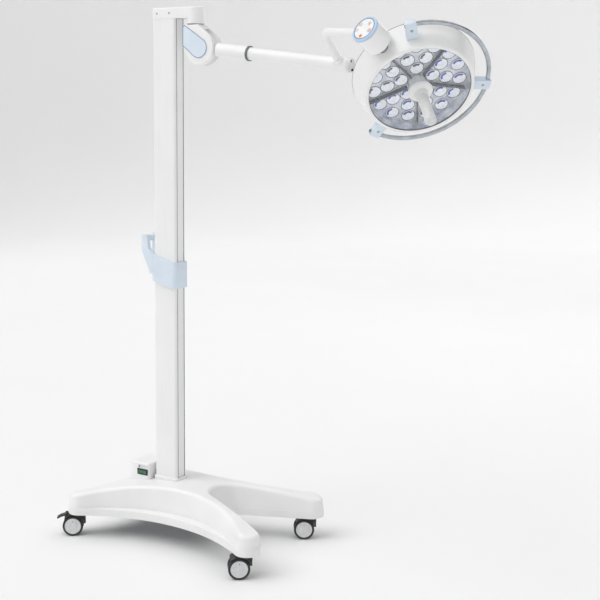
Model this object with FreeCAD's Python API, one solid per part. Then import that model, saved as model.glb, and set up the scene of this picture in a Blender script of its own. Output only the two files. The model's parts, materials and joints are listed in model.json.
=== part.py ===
import FreeCAD, Part
import math
import os

# Mobile surgical light: a cross-shaped base on four twin-wheel casters, a column of flat
# section, a spring-balanced arm and a round LED dome in a hooked yoke.
# Millimetres.  +Z is up, +X points from the column towards the front legs and the dome.
# Sizes below are written with the column's centre line at X = Y = 0 and the floor at Z = 0;
# the finished model is then moved so that its origin is the middle of its footprint.

V = FreeCAD.Vector
X_AXIS = V(1, 0, 0)
Y_AXIS = V(0, 1, 0)
Z_AXIS = V(0, 0, 1)

# ---------------------------------------------------------------- driving dimensions
# base
front_reach = 487.0                 # column centre to the front caster stems
rear_reach = 254.0                  # column centre to the rear caster stems
track = 428.0                       # left stem to right stem
leg_end_radius = 45.0
flank_waist = 114.0                 # half width of the upper shell between the legs
skirt_waist = 152.0                 # half width of the low skirt there
rear_waist = 205.0                  # column centre to the hollow of the rear edge
notch_depth = 205.0                 # column centre to the bottom of the front notch
notch_radius = 72.0
wheel_to_base = 10.0                # from the top of the wheels to the base's underside
skirt_height = 27.0
leg_height = 65.0                   # base's underside to the top of the shell over the leg ends
crown_rise = 55.0                   # from there to the top of the shell at its highest
wall_draft = 8.0                    # lean of the shell's walls over their height
edge_round = 15.0
shell_wall = 4.0
plate_thickness = 8.0
socket_height = 34.0                # round the caster stems
socket_diameter = 34.0
post_height = 88.0                  # steel socket round the column's foot
post_wall = 7.0
collar_wall = 6.0                   # trim collar round the column
# rear housing
housing_gap = 12.0                  # column's rear face to the housing
housing_length = 88.0
housing_half = 52.0
housing_rise = 51.0                 # above the top of the base
housing_wall = 3.0
switch_back = 30.0                  # housing's front face to the switch
switch_rise = 16.0                  # above the top of the base
inlet_back = 50.0
inlet_rise = 24.0
# casters
wheel_diameter = 75.0
wheel_width = 18.0
wheel_gap = 16.0                    # between the two wheels of a caster
trail = 28.0                        # swivel axis to the wheels' axle
stem_diameter = 16.0
hood_gap = 3.0
axle_diameter = 10.0
pedal_half = 13.0
pedal_pin = 4.0
braked = ("rl", "rr")
caster_headings = {"fl": 33.0, "fr": 38.0, "rl": 30.0, "rr": 36.0}
# column
column_length = 100.0               # along X
column_width = 60.0
column_corner = 10.0
column_wall = 4.0
column_top = 1887.0
strip_width = 36.0
strip_depth = 3.0
# column cap and swivel
cap_height = 38.0
swivel_reach = 70.0                 # column's front face to the swivel
barrel_radius = 32.0
barrel_drop = 20.0
spindle_diameter = 24.0
bush_wall = 3.0
spindle_length = 48.0
flange_thickness = 4.0
# push handle
handle_mid = 968.0                  # height of the push handle's middle
handle_band = 98.0
handle_wall = 9.0
grip_rise = 96.0                    # the rear loop above the band
grip_reach = 46.0
# knuckle and arm
pin_forward = 35.0                  # from the swivel to the hinge pin
pin_below = 105.0                   # from the column's top down to the pin
knuckle_back = 34.0                 # from the swivel back to the knuckle's upright edge
cheek_radius = 60.0                 # round front of the fork's cheeks
knuckle_width = 62.0
cheek_thickness = 15.0
pin_diameter = 20.0
eye_radius = 46.0
plate_round = 35.0                  # round front end of the inlay plates
side_plate_thickness = 2.5
arm_dip = 6.5                       # degrees below level at rest
tongue_height = 44.0
sleeve_gap = 4.0                    # cheek's round front to the arm's sleeve
sleeve_step = 6.0                   # the arm's rear sleeve is this much wider than its tube
sleeve_length = 126.0
ring_width = 7.0
arm_diameter = 44.0
tube_length = 330.0                 # arm tube in front of the sleeve
arm_wall = 3.0
strut_diameter = 18.0
# yoke
yoke_sleeve_length = 62.0
yoke_spigot_diameter = 28.0
end_disc_thickness = 11.0
yoke_tube_diameter = 26.0
yoke_forward = 548.0                # corner of the hooked tube, from the hinge pin
yoke_aside = -120.0
yoke_rise = 35.0
yoke_bend = 46.0
# dome
dome_forward = 834.0                # middle of the window's face, from the hinge pin
dome_aside = 3.0
dome_below = 149.0
dome_azimuth = -46.5                # heading of the light beam
dome_elevation = -40.0
pod_roll = 43.0                     # turn of the pod about the beam, from level
window_radius = 170.0
lip_width = 6.0                     # white rim round the window
bezel_flare = 24.0                  # from the rim out to the dome's edge
bezel_depth = 90.0
back_depth = 44.0
dome_wall = 3.0
sectors = 5
sector_turn = 2.0                   # first rib, from the pod's direction
lens_diameter = 42.0
ring_lenses = (3, 2, 1)             # lenses in each sector, from the outer ring inwards
ring_pitch = (0.0, 44.0, 85.0)      # from the outer ring of lenses in to each ring
lens_margin = 10.0                  # outer lenses to the window's edge
lens_face = 46.0                    # behind the window's face
lens_height = 20.0
board_thickness = 1.6
hub_radius = 28.0
collar_radius = 38.0
# pod
pod_level = 50.0                    # behind the window's face
pod_wall = 3.0
pod_diameter = 90.0
pod_gap = 7.0                       # dome's edge to the pod
pod_depth = 80.0
panel_diameter = 76.0
key_diameter = 13.0
key_places = ((-13.5, -24.0), (-26.0, -6.0), (-4.0, 22.0), (22.0, 13.0))
key_travel = 0.5
pivot_diameter = 36.0
# ring handle
ring_clear = 32.0                   # dome's edge to the middle of the ring's tube
ring_level = 41.0
ring_tube = 15.0
clamp_angles = (-29.0, -136.0, -252.0)
clamp_width = 34.0
# sterile handle
grip_diameter = 38.0
grip_length = 130.0
grip_offset = 20.0
spigot_diameter = 16.0
# clearances
seat_gap = 0.3
running_gap = 0.05
fit_gap = 0.05

# ---------------------------------------------------------------- sizes that follow from them
base_underside = wheel_diameter + wheel_to_base
leg_top = base_underside + leg_height
crown_top = leg_top + crown_rise
housing_front = -column_length / 2 - housing_gap
housing_rear = housing_front - housing_length
housing_top = crown_top + housing_rise
switch_x = housing_front - switch_back
switch_z = crown_top + switch_rise
inlet_x = housing_front - inlet_back
inlet_z = crown_top + inlet_rise
plate_top = base_underside + plate_thickness
collar_length = column_length + 2 * collar_wall
collar_width = column_width + 2 * collar_wall
swivel_x = column_length / 2 + swivel_reach
pin_x = swivel_x + pin_forward
pin_z = column_top - pin_below
knuckle_rear = swivel_x - knuckle_back
sleeve_start = cheek_radius + sleeve_gap
sleeve_diameter = arm_diameter + sleeve_step
ring_start = sleeve_start + sleeve_length
arm_end = ring_start + tube_length
yoke_corner = V(pin_x + yoke_forward, yoke_aside, pin_z + yoke_rise)
dome_centre = V(pin_x + dome_forward, dome_aside, pin_z - dome_below)
dome_radius = window_radius + lip_width + bezel_flare
lens_circle = window_radius - lens_margin - lens_diameter / 2
ring_radius = dome_radius + ring_clear
pod_inner = dome_radius + pod_gap
pod_face = pod_inner + pod_depth
lip_radius = window_radius + lip_width
pivot_axis_height = -pod_level
cover_level = -lens_face - 2.0
board_top = -lens_face - lens_height - 1.2
carrier_top = board_top - board_thickness
wheel_radius = wheel_diameter / 2
pedal_x = -trail - (wheel_radius - 11.5)
pedal_z = 2 * wheel_radius + 3.5


# ---------------------------------------------------------------- small helpers
def box(x0, x1, y0, y1, z0, z1):
    return Part.makeBox(x1 - x0, y1 - y0, z1 - z0, V(x0, y0, z0))


def rod(diameter, start, direction, length):
    return Part.makeCylinder(diameter / 2.0, length, start, direction)


def tube(outer, inner, start, direction, length):
    past = V(direction)
    past.normalize()
    hole = rod(inner, start - past, direction, length + 2)
    return rod(outer, start, direction, length).cut(hole)


def polygon(points):
    return Part.makePolygon(points + [points[0]])


def prism(wire, direction):
    return Part.Face(wire).extrude(direction)


def plate_xz(points, y0, y1):
    wire = polygon([V(x, y0, z) for x, z in points])
    return prism(wire, V(0, y1 - y0, 0))


def turned(points):
    """A solid of revolution about Z from (radius, height) points."""
    wire = polygon([V(r, 0, z) for r, z in points])
    return Part.Face(wire).revolve(V(0, 0, 0), Z_AXIS, 360)


def rounded_slab(length, width, corner, z0, z1):
    """A block centred on Z with its four upright edges rounded."""
    block = box(-length / 2, length / 2, -width / 2, width / 2, z0, z1)
    upright = [e for e in block.Edges if abs(e.Vertexes[0].Z - e.Vertexes[-1].Z) > 1]
    return block.makeFillet(corner, upright)


def solids_of(shape):
    found = shape.removeSplitter().Solids
    return found[0] if len(found) == 1 else Part.makeCompound(found)


def polar(radius, degrees, z=0.0):
    a = math.radians(degrees)
    return V(radius * math.cos(a), radius * math.sin(a), z)


# ---------------------------------------------------------------- frames
def frame_from(origin, x_dir, z_dir):
    """A placement whose X and Z run along the two directions given."""
    y_dir = z_dir.cross(x_dir)
    turn = FreeCAD.Rotation(x_dir, y_dir, z_dir, "ZXY")
    return FreeCAD.Placement(origin, turn)


def placed(shape, placement):
    moved = shape.copy()
    moved.Placement = placement.multiply(moved.Placement)
    return moved


def heading(azimuth, elevation):
    a = math.radians(azimuth)
    e = math.radians(elevation)
    return V(math.cos(e) * math.cos(a), math.cos(e) * math.sin(a), math.sin(e))


beam = heading(dome_azimuth, dome_elevation)
level_left = beam.cross(Z_AXIS).normalize()
rising = level_left.cross(beam).normalize()
roll = math.radians(pod_roll)
pod_dir = (level_left * math.cos(roll) + rising * math.sin(roll)).normalize()
dome_frame = frame_from(dome_centre, pod_dir, beam)
pod_frame = frame_from(dome_frame.multVec(V(0, 0, -pod_level)), beam, pod_dir)

arm_dir = V(math.cos(math.radians(arm_dip)), 0, -math.sin(math.radians(arm_dip)))
pin_centre = V(pin_x, 0, pin_z)


# ---------------------------------------------------------------- base outline
def flank_radius(half_span, sink, end_radius):
    """Radius of the hollow arc that touches both leg ends and sinks between them."""
    rise = half_span ** 2 + sink ** 2 - end_radius ** 2
    return rise / (2 * (end_radius - sink))


def towards(start, goal, distance):
    step = goal - start
    step.normalize()
    return start + step * distance


def arc_between(centre, start, end, inwards):
    """The arc about centre from start to end, its middle on the side of inwards."""
    middle = (start + end) * 0.5
    side = middle - centre
    if side.Length < 0.5 or side.dot(inwards) < 0:
        side = inwards
    side.normalize()
    return Part.Arc(start, centre + side * (start - centre).Length, end)


def base_outline(waist, inset, z):
    """The base in plan, with every wall moved in by inset."""
    half = track / 2.0
    front = V(front_reach, -half, z)
    rear = V(-rear_reach, -half, z)
    end = leg_end_radius - inset
    span = (front_reach + rear_reach) / 2.0
    flank = flank_radius(span, waist - half, leg_end_radius)
    flank_centre = V((front_reach - rear_reach) / 2.0, -(flank + waist), z)
    hollow = flank_radius(half, rear_waist - rear_reach, leg_end_radius)
    hollow_centre = V(-(hollow + rear_waist), 0, z)
    notch_centre = V(notch_depth + notch_radius, 0, z)
    notch = notch_radius + inset
    # the straight inner side of a leg touches the notch and the leg end
    reach = front - notch_centre
    lean = math.asin((notch + end) / reach.Length)
    line_angle = math.atan2(reach.y, reach.x) + lean
    normal = V(-math.sin(line_angle), math.cos(line_angle), 0)
    notch_touch = notch_centre - normal * notch
    end_touch = front + normal * end
    front_touch = towards(front, flank_centre, end)
    rear_touch = towards(rear, flank_centre, end)
    hollow_touch = towards(rear, hollow_centre, end)
    flank_low = V(flank_centre.x, -(waist - inset), z)
    hollow_low = V(-(rear_waist - inset), 0, z)
    notch_low = V(notch_depth - inset, 0, z)

    def mirror(p):
        return V(p.x, -p.y, p.z)

    lower = [Part.LineSegment(notch_touch, end_touch),
             arc_between(front, end_touch, front_touch, V(1, -0.6, 0)),
             Part.Arc(front_touch, flank_low, rear_touch),
             arc_between(rear, rear_touch, hollow_touch, V(-1, -0.6, 0))]
    upper = [arc_between(mirror(rear), mirror(hollow_touch), mirror(rear_touch), V(-1, 0.6, 0)),
             Part.Arc(mirror(rear_touch), mirror(flank_low), mirror(front_touch)),
             arc_between(mirror(front), mirror(front_touch), mirror(end_touch), V(1, 0.6, 0)),
             Part.LineSegment(mirror(end_touch), mirror(notch_touch))]
    rear_arc = [Part.Arc(hollow_touch, hollow_low, mirror(hollow_touch))]
    notch_arc = [Part.Arc(mirror(notch_touch), notch_low, notch_touch)]
    curves = lower + rear_arc + upper + notch_arc
    return Part.Wire([c.toShape() for c in curves])


def crown_radius():
    half = (front_reach + rear_reach) / 2.0 + leg_end_radius
    rise = crown_top - leg_top
    return (half ** 2 + rise ** 2) / (2 * rise)


def crown_height(x, drop=0.0):
    """Height of the arched top of the base at x."""
    middle = (front_reach - rear_reach) / 2.0
    radius = crown_radius()
    return crown_top - radius + math.sqrt((radius - drop) ** 2 - (x - middle) ** 2)


def crown_solid(drop):
    """Everything under the arched top of the base, lowered by drop."""
    margin = 20.0
    x0 = -rear_reach - leg_end_radius - margin
    x1 = front_reach + leg_end_radius + margin
    middle = (x0 + x1) / 2.0
    floor = base_underside - 2

    def at(x, z):
        return V(x, -track, z)

    arch = Part.Arc(at(x0, crown_height(x0, drop)), at(middle, crown_height(middle, drop)),
                    at(x1, crown_height(x1, drop)))
    sides = [Part.LineSegment(at(x1, crown_height(x1, drop)), at(x1, floor)),
             Part.LineSegment(at(x1, floor), at(x0, floor)),
             Part.LineSegment(at(x0, floor), at(x0, crown_height(x0, drop)))]
    outline = Part.Wire([c.toShape() for c in [arch] + sides])
    return prism(outline, V(0, 2 * track, 0))


def upper_body(inset, bottom, drop, round_radius):
    tall = crown_top + 5.0
    slope = wall_draft / (crown_top - base_underside)
    low = base_outline(flank_waist, inset, bottom)
    high = base_outline(flank_waist, inset + slope * (tall - bottom), tall)
    body = Part.makeLoft([low, high], True, True).common(crown_solid(drop))
    arch = max(body.Faces, key=lambda f: f.CenterOfMass.z)
    return body.makeFillet(round_radius, arch.Edges)


def base_shell():
    """Moulded cover of the base with its low skirt, open below."""
    skirt_top = base_underside + skirt_height
    skirt = prism(base_outline(skirt_waist, 0, base_underside), V(0, 0, skirt_height))
    body = upper_body(0, base_underside, 0, edge_round)
    outer = body.fuse(skirt)
    below = base_underside - 1
    hollow_skirt = prism(base_outline(skirt_waist, shell_wall, below),
                         V(0, 0, skirt_top - shell_wall - below))
    hollow_body = upper_body(shell_wall, below, shell_wall, edge_round - shell_wall)
    shell = outer.cut(hollow_skirt.fuse(hollow_body))
    opening = rounded_slab(collar_length + 2 * seat_gap, collar_width + 2 * seat_gap,
                           column_corner + collar_wall, base_underside, crown_top + 20)
    return solids_of(shell.cut(opening))


def stem_positions():
    half = track / 2.0
    return {"fl": V(front_reach, half, 0), "fr": V(front_reach, -half, 0),
            "rl": V(-rear_reach, half, 0), "rr": V(-rear_reach, -half, 0)}


def base_frame():
    """Steel floor plate with the column socket, four webs and four stem sockets."""
    outline = base_outline(skirt_waist, shell_wall + seat_gap, base_underside)
    frame = prism(outline, V(0, 0, plate_thickness))
    post = rounded_slab(column_length + 2 * post_wall, column_width + 2 * post_wall, column_corner,
                        plate_top, plate_top + post_height)
    frame = frame.fuse(post)
    for stem in stem_positions().values():
        foot = V(stem.x, stem.y, plate_top)
        frame = frame.fuse(rod(socket_diameter, foot, Z_AXIS, socket_height))
        start = V(math.copysign(column_length / 2.0, stem.x), math.copysign(20, stem.y), plate_top)
        run = foot - start
        web = Part.makeBox(run.Length, 6, socket_height, V(0, -3, 0))
        turn = math.degrees(math.atan2(run.y, run.x))
        web.Placement = FreeCAD.Placement(start, FreeCAD.Rotation(Z_AXIS, turn))
        frame = frame.fuse(web)
    inside = rounded_slab(column_length + 2 * fit_gap, column_width + 2 * fit_gap,
                          column_corner, plate_top, plate_top + post_height + 1)
    frame = frame.cut(inside)
    for stem in stem_positions().values():
        hole = rod(stem_diameter + 2 * running_gap, V(stem.x, stem.y, base_underside - 1),
                   Z_AXIS, socket_height)
        frame = frame.cut(hole)
    return solids_of(frame)


def ballast_plates():
    """Four iron weights on the floor plate around the column socket."""
    z0 = plate_top
    side = 66.0
    blocks = []
    for sign in (-1, 1):
        near = column_width / 2 + post_wall + 4
        far = flank_waist - shell_wall - wall_draft
        y0, y1 = sorted((sign * near, sign * far))
        blocks.append(box(-38, 38, y0, y1, z0, z0 + side))
    post_front = column_length / 2 + post_wall
    blocks.append(box(post_front + 15, notch_depth - shell_wall - wall_draft, -22, 22,
                      z0, z0 + side - 4))
    blocks.append(box(-rear_waist + shell_wall + wall_draft, -post_front - 15, -22, 22,
                      z0, z0 + side - 16))
    return Part.makeCompound(blocks)


# ---------------------------------------------------------------- rear housing
def rear_housing():
    """Cover of the power supply, behind the column on top of the base."""
    low = crown_height(housing_rear) - 12
    length = housing_front - housing_rear
    middle = V((housing_front + housing_rear) / 2.0, 0, 0)
    block = rounded_slab(length, 2 * housing_half, 9, low, housing_top)
    top = [e for e in block.Edges if e.BoundBox.ZMin > housing_top - 0.1]
    block = block.makeFillet(6, top)
    hollow = rounded_slab(length - 2 * housing_wall, 2 * (housing_half - housing_wall), 6,
                          low - 1, housing_top - housing_wall)
    shell = block.cut(hollow)
    shell.translate(middle)
    base = crown_solid(-seat_gap)
    shell = shell.cut(base)
    switch_hole = box(switch_x - 21.3, switch_x + 21.3, -housing_half - 1, -housing_half + 8,
                      switch_z - 8.3, switch_z + 8.3)
    inlet_hole = box(inlet_x - 15, inlet_x + 15, housing_half - 8, housing_half + 1,
                     inlet_z - 11, inlet_z + 11)
    return solids_of(shell.cut(switch_hole).cut(inlet_hole))


def power_supply():
    """Power unit standing on the base inside the rear housing."""
    low = crown_height(housing_front - 10) + seat_gap
    return box(housing_rear + 14, housing_front - 8, -housing_half + 24, housing_half - 26,
               low, housing_top - 14)


def inlet_socket():
    """Appliance inlet in the far side of the rear housing."""
    flange = box(inlet_x - 19, inlet_x + 19, housing_half, housing_half + 2.5,
                 inlet_z - 15, inlet_z + 15)
    body = box(inlet_x - 14.5, inlet_x + 14.5, housing_half - 16, housing_half,
               inlet_z - 10.5, inlet_z + 10.5)
    cup = box(inlet_x - 12, inlet_x + 12, housing_half - 14, housing_half + 3,
              inlet_z - 8, inlet_z + 8)
    socket = flange.fuse(body).cut(cup)
    for offset, height in ((-6.5, inlet_z - 2), (0.0, inlet_z + 2), (6.5, inlet_z - 2)):
        pin = box(inlet_x + offset - 1, inlet_x + offset + 1, housing_half - 15,
                  housing_half - 2, height - 2.5, height + 2.5)
        socket = socket.fuse(pin)
    return solids_of(socket)


def switch_frame():
    """Bezel that holds the rocker in the near side of the rear housing."""
    y0 = -housing_half
    flange = box(switch_x - 24, switch_x + 24, y0 - 2, y0, switch_z - 11, switch_z + 11)
    body = box(switch_x - 21, switch_x + 21, y0, y0 + 14, switch_z - 8, switch_z + 8)
    cup = box(switch_x - 19, switch_x + 19, y0 - 3, y0 + 12, switch_z - 6.5, switch_z + 6.5)
    return solids_of(flange.fuse(body).cut(cup))


def switch_rocker():
    """Rocker that tips about an upright pin at its middle."""
    y0 = -housing_half
    half = 18.0
    points = [V(-half, 3.5, 0), V(-half, -3.0, 0), V(0, -1.2, 0), V(half, -3.0, 0),
              V(half, 3.5, 0), V(0, 7.5, 0)]
    cap = prism(polygon(points), V(0, 0, 12.4))
    cap.translate(V(switch_x, y0, switch_z - 6.2))
    return cap


# ---------------------------------------------------------------- column
def foot_trim():
    """Collar that closes the gap between the column and the base cover."""
    low = crown_height(-column_length / 2) - 8
    high = crown_top + 7
    ring = rounded_slab(collar_length, collar_width, column_corner + collar_wall, low, high)
    top = [e for e in ring.Edges if e.BoundBox.ZMin > high - 0.1]
    ring = ring.makeFillet(3, top)
    bore = rounded_slab(column_length + 2 * fit_gap, column_width + 2 * fit_gap,
                        column_corner, low - 1, high + 1)
    return ring.cut(bore)


def column_profile():
    """Aluminium tube of flat section with a shallow channel down its front."""
    outer = rounded_slab(column_length, column_width, column_corner, plate_top, column_top)
    inner = rounded_slab(column_length - 2 * column_wall - strip_depth,
                         column_width - 2 * column_wall, column_corner - column_wall,
                         plate_top - 1, column_top + 1)
    inner.translate(V(-strip_depth / 2.0, 0, 0))
    channel = box(column_length / 2 - strip_depth, column_length / 2 + 1,
                  -strip_width / 2, strip_width / 2, crown_top + 8, column_top + 1)
    return outer.cut(inner).cut(channel)


def column_strip():
    """Cover strip clipped into the column's front channel."""
    half = strip_width / 2 - seat_gap
    front = column_length / 2
    strip = box(front - strip_depth + fit_gap, front - 0.6, -half, half,
                crown_top + 10, column_top - seat_gap)
    return strip


def column_cap():
    """Cap casting: a plug in the column and the barrel that carries the arm's swivel."""
    z0 = column_top
    z1 = column_top + cap_height
    x0 = -column_length / 2 - 1.5
    half = column_width / 2 + 1.5
    block = box(x0, swivel_x, -half, half, z0, z1)
    block = block.fuse(rod(2 * barrel_radius, V(swivel_x, 0, z0), Z_AXIS, cap_height))
    block = block.removeSplitter()
    rear = [e for e in block.Edges if e.BoundBox.XMax < x0 + 0.1 and e.BoundBox.ZLength > 9]
    block = block.makeFillet(column_corner, rear)
    top = [e for e in block.Edges if e.BoundBox.ZMin > z1 - 0.1]
    block = block.makeFillet(5, top)
    barrel = rod(2 * barrel_radius, V(swivel_x, 0, z0 - barrel_drop), Z_AXIS, barrel_drop + 5)
    plug = rounded_slab(column_length - 2 * column_wall - strip_depth - 2 * fit_gap,
                        column_width - 2 * column_wall - 2 * fit_gap,
                        column_corner - column_wall, z0 - 40, z0 + 2)
    plug.translate(V(-strip_depth / 2.0, 0, 0))
    bore = rod(spindle_diameter + 2 * bush_wall, V(swivel_x, 0, z0 - barrel_drop - 1),
               Z_AXIS, spindle_length + 1.5)
    return solids_of(block.fuse(barrel).fuse(plug).cut(bore))


def swivel_bush():
    """Bronze bush pressed into the barrel."""
    return tube(spindle_diameter + 2 * bush_wall, spindle_diameter + 2 * running_gap,
                V(swivel_x, 0, column_top - barrel_drop), Z_AXIS, spindle_length)


def push_handle():
    """Moulded grip clamped round the column, with a loop that rises at the rear."""
    length = column_length + 2 * handle_wall
    width = column_width + 2 * handle_wall
    low = handle_mid - handle_band
    high = handle_mid + handle_band + grip_rise
    sleeve = rounded_slab(length, width, column_corner + handle_wall, low, high)
    front = column_length / 2
    rear = -column_length / 2
    side_drop = 46.0
    corner_z = handle_mid + handle_band / 2
    side = plate_xz([(front + 20, corner_z - side_drop - handle_band / 2 + 2),
                     (front - 18, corner_z - side_drop - handle_band / 2 + 2),
                     (rear - 20, corner_z - handle_band + 34),
                     (rear - 20, corner_z + 34),
                     (front - 18, corner_z + 2),
                     (front + 20, corner_z + 2)], -width, width)
    band = sleeve.common(side)
    horn = [(rear + 12, corner_z - 40), (rear - handle_wall, corner_z - 46),
            (rear - grip_reach - 3, corner_z + 40), (rear - grip_reach, corner_z + grip_rise),
            (rear - grip_reach + 22, corner_z + grip_rise), (rear - grip_reach + 26, corner_z + 48),
            (rear + 2, corner_z + 26)]
    horns = plate_xz(horn, -width / 2, -width / 2 + 17)
    horns = horns.fuse(plate_xz(horn, width / 2 - 17, width / 2))
    grip_z = corner_z + grip_rise - 13
    bar = rod(22, V(rear - grip_reach + 11.5, -width / 2 + 4, grip_z), Y_AXIS, width - 8)
    body = band.fuse(horns).fuse(bar)
    bore = rounded_slab(column_length + 2 * fit_gap, column_width + 2 * fit_gap,
                        column_corner, low - 10, high + 10)
    return solids_of(body.cut(bore))


# ---------------------------------------------------------------- knuckle
def knuckle_top():
    return column_top - barrel_drop - flange_thickness - seat_gap


def swivel_spindle():
    """Spindle that turns in the barrel, with the flange that carries the knuckle."""
    top = column_top - barrel_drop
    shaft = rod(spindle_diameter, V(swivel_x, 0, top - seat_gap), Z_AXIS, spindle_length - 2)
    flange = rod(2 * barrel_radius - 4, V(swivel_x, 0, top - seat_gap), V(0, 0, -1), flange_thickness)
    return shaft.fuse(flange)


def knuckle_profile(y0, y1):
    """Side view of the knuckle: an upright rear edge blending into the round cheek."""
    top = knuckle_top()
    lean = math.radians(205)
    foot = V(pin_x + cheek_radius * math.cos(lean), y0, pin_z + cheek_radius * math.sin(lean))
    shoulder = V(pin_x + cheek_radius * math.cos(math.radians(52)), y0,
                 pin_z + cheek_radius * math.sin(math.radians(52)))
    start = V(knuckle_rear, y0, top)
    crest = V(swivel_x + barrel_radius - 4, y0, top)
    bottom_rear = V(knuckle_rear, y0, foot.z + 24)
    far = V(pin_x, y0, pin_z) + V(cheek_radius, 0, 0)
    under = V(pin_x, y0, pin_z - cheek_radius)
    edges = [Part.LineSegment(start, bottom_rear), Part.LineSegment(bottom_rear, foot),
             Part.Arc(foot, under, far), Part.Arc(far, towards(
                 V(pin_x, y0, pin_z), V(pin_x + 86, y0, pin_z + 40), cheek_radius), shoulder),
             Part.LineSegment(shoulder, crest), Part.LineSegment(crest, start)]
    return prism(Part.Wire([e.toShape() for e in edges]), V(0, y1 - y0, 0))


def knuckle_housing():
    """Fork casting: a block under the spindle and two cheeks round the arm's root."""
    half = knuckle_width / 2
    body = knuckle_profile(-half, half)
    side = [e for e in body.Edges
            if e.BoundBox.YLength < 0.01 and abs(abs(e.BoundBox.YMin) - half) < 0.01]
    body = body.makeFillet(5, side)
    slot_half = half - cheek_thickness
    room = cheek_radius + 6
    slot = rod(2 * (eye_radius + 3), V(pin_x, -slot_half, pin_z), Y_AXIS, 2 * slot_half)
    front = box(pin_x, pin_x + room, -slot_half, slot_half, pin_z - room, pin_z + room)
    lower = box(pin_x - 30, pin_x + room, -slot_half, slot_half, pin_z - room, pin_z)
    body = body.cut(slot).cut(front).cut(lower)
    bore = rod(pin_diameter + 2 * fit_gap, V(pin_x, -half - 1, pin_z), Y_AXIS, knuckle_width + 2)
    screw_pocket = rod(10, V(swivel_x, 0, knuckle_top() - 12), Z_AXIS, 14)
    return solids_of(body.cut(bore).cut(screw_pocket))


def knuckle_plates():
    """Two inlay plates that cover the hinge pin's ends."""
    plates = []
    half = knuckle_width / 2
    for y0, y1 in ((-half - side_plate_thickness, -half), (half, half + side_plate_thickness)):
        centre = V(pin_x, y0, pin_z)
        top = knuckle_top() - 1
        slope = math.radians(61)
        upper = centre + V(math.cos(slope), 0, math.sin(slope)) * plate_round
        lower_angle = math.radians(232)
        lower = centre + V(math.cos(lower_angle), 0, math.sin(lower_angle)) * plate_round
        far = centre + V(plate_round, 0, 0)
        rear = knuckle_rear + 1.5
        corners = [V(rear + 8, y0, top), V(rear, y0, top - 8), V(rear, y0, pin_z + 8)]
        edges = [Part.Arc(upper, far, lower), Part.LineSegment(lower, corners[2]),
                 Part.LineSegment(corners[2], corners[1]), Part.LineSegment(corners[1], corners[0]),
                 Part.LineSegment(corners[0], upper)]
        plates.append(prism(Part.Wire([e.toShape() for e in edges]), V(0, y1 - y0, 0)))
    return Part.makeCompound(plates)


def hinge_pin():
    """Pin through both cheeks and the arm's eye."""
    half = knuckle_width / 2
    return rod(pin_diameter, V(pin_x, -half, pin_z), Y_AXIS, knuckle_width)


# ---------------------------------------------------------------- arm
def along_arm(distance):
    return pin_centre + arm_dir * distance


def arm_root():
    """Eye on the hinge pin with a flat tongue and the plug for the arm tube."""
    half = knuckle_width / 2 - cheek_thickness - 0.3
    eye = rod(2 * eye_radius, V(0, 0, -half), Z_AXIS, 2 * half)
    tongue = box(0, sleeve_start, -tongue_height / 2, tongue_height / 2, -half, half)
    root = eye.fuse(tongue)
    root.Placement = frame_from(pin_centre, arm_dir, V(0, -1, 0))
    plug = rod(sleeve_diameter - 2 * arm_wall - 2 * fit_gap, along_arm(sleeve_start), arm_dir, 52)
    bore = rod(pin_diameter + 2 * running_gap, V(pin_x, -half - 1, pin_z), Y_AXIS, 2 * half + 2)
    spring_hole = rod(strut_diameter + 8, along_arm(sleeve_start + 2), arm_dir, 60)
    return solids_of(root.fuse(plug).cut(spring_hole).cut(bore))


def arm_sleeve():
    """Wider rear length of the arm."""
    return tube(sleeve_diameter, sleeve_diameter - 2 * arm_wall, along_arm(sleeve_start),
                arm_dir, ring_start - sleeve_start)


def arm_ring():
    """Dark seal ring between the sleeve and the slimmer tube."""
    return tube(sleeve_diameter + 2, arm_diameter + 2 * fit_gap, along_arm(ring_start),
                arm_dir, ring_width)


def arm_tube():
    """Main tube of the arm; its rear end sits inside the sleeve."""
    start = ring_start - 50
    return tube(arm_diameter - fit_gap, arm_diameter - 2 * arm_wall, along_arm(start),
                arm_dir, arm_end - start)


def balance_strut():
    """Gas strut inside the arm that carries the dome's weight."""
    first = sleeve_start + 2.0
    body = rod(strut_diameter, along_arm(first), arm_dir, 190)
    rod_part = rod(8, along_arm(first), arm_dir, arm_end - first - 30)
    return body.fuse(rod_part)


def arm_spigot():
    """Plug in the tube's front end with the spigot that the yoke turns on."""
    plug = rod(arm_diameter - 2 * arm_wall - 2 * fit_gap, along_arm(arm_end - 30), arm_dir, 30)
    spigot = rod(yoke_spigot_diameter, along_arm(arm_end - 1), arm_dir, yoke_sleeve_length - 1)
    return solids_of(plug.fuse(spigot))


# ---------------------------------------------------------------- yoke
def yoke_points():
    """Centre line of the hook: out of the sleeve, round one bend, into the pod."""
    root = along_arm(arm_end + yoke_sleeve_length * 0.52)
    to_pod = yoke_corner - pod_frame.Base
    reach = pod_dir.dot(to_pod)
    return root, yoke_corner, pod_frame.Base + pod_dir * reach


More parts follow.
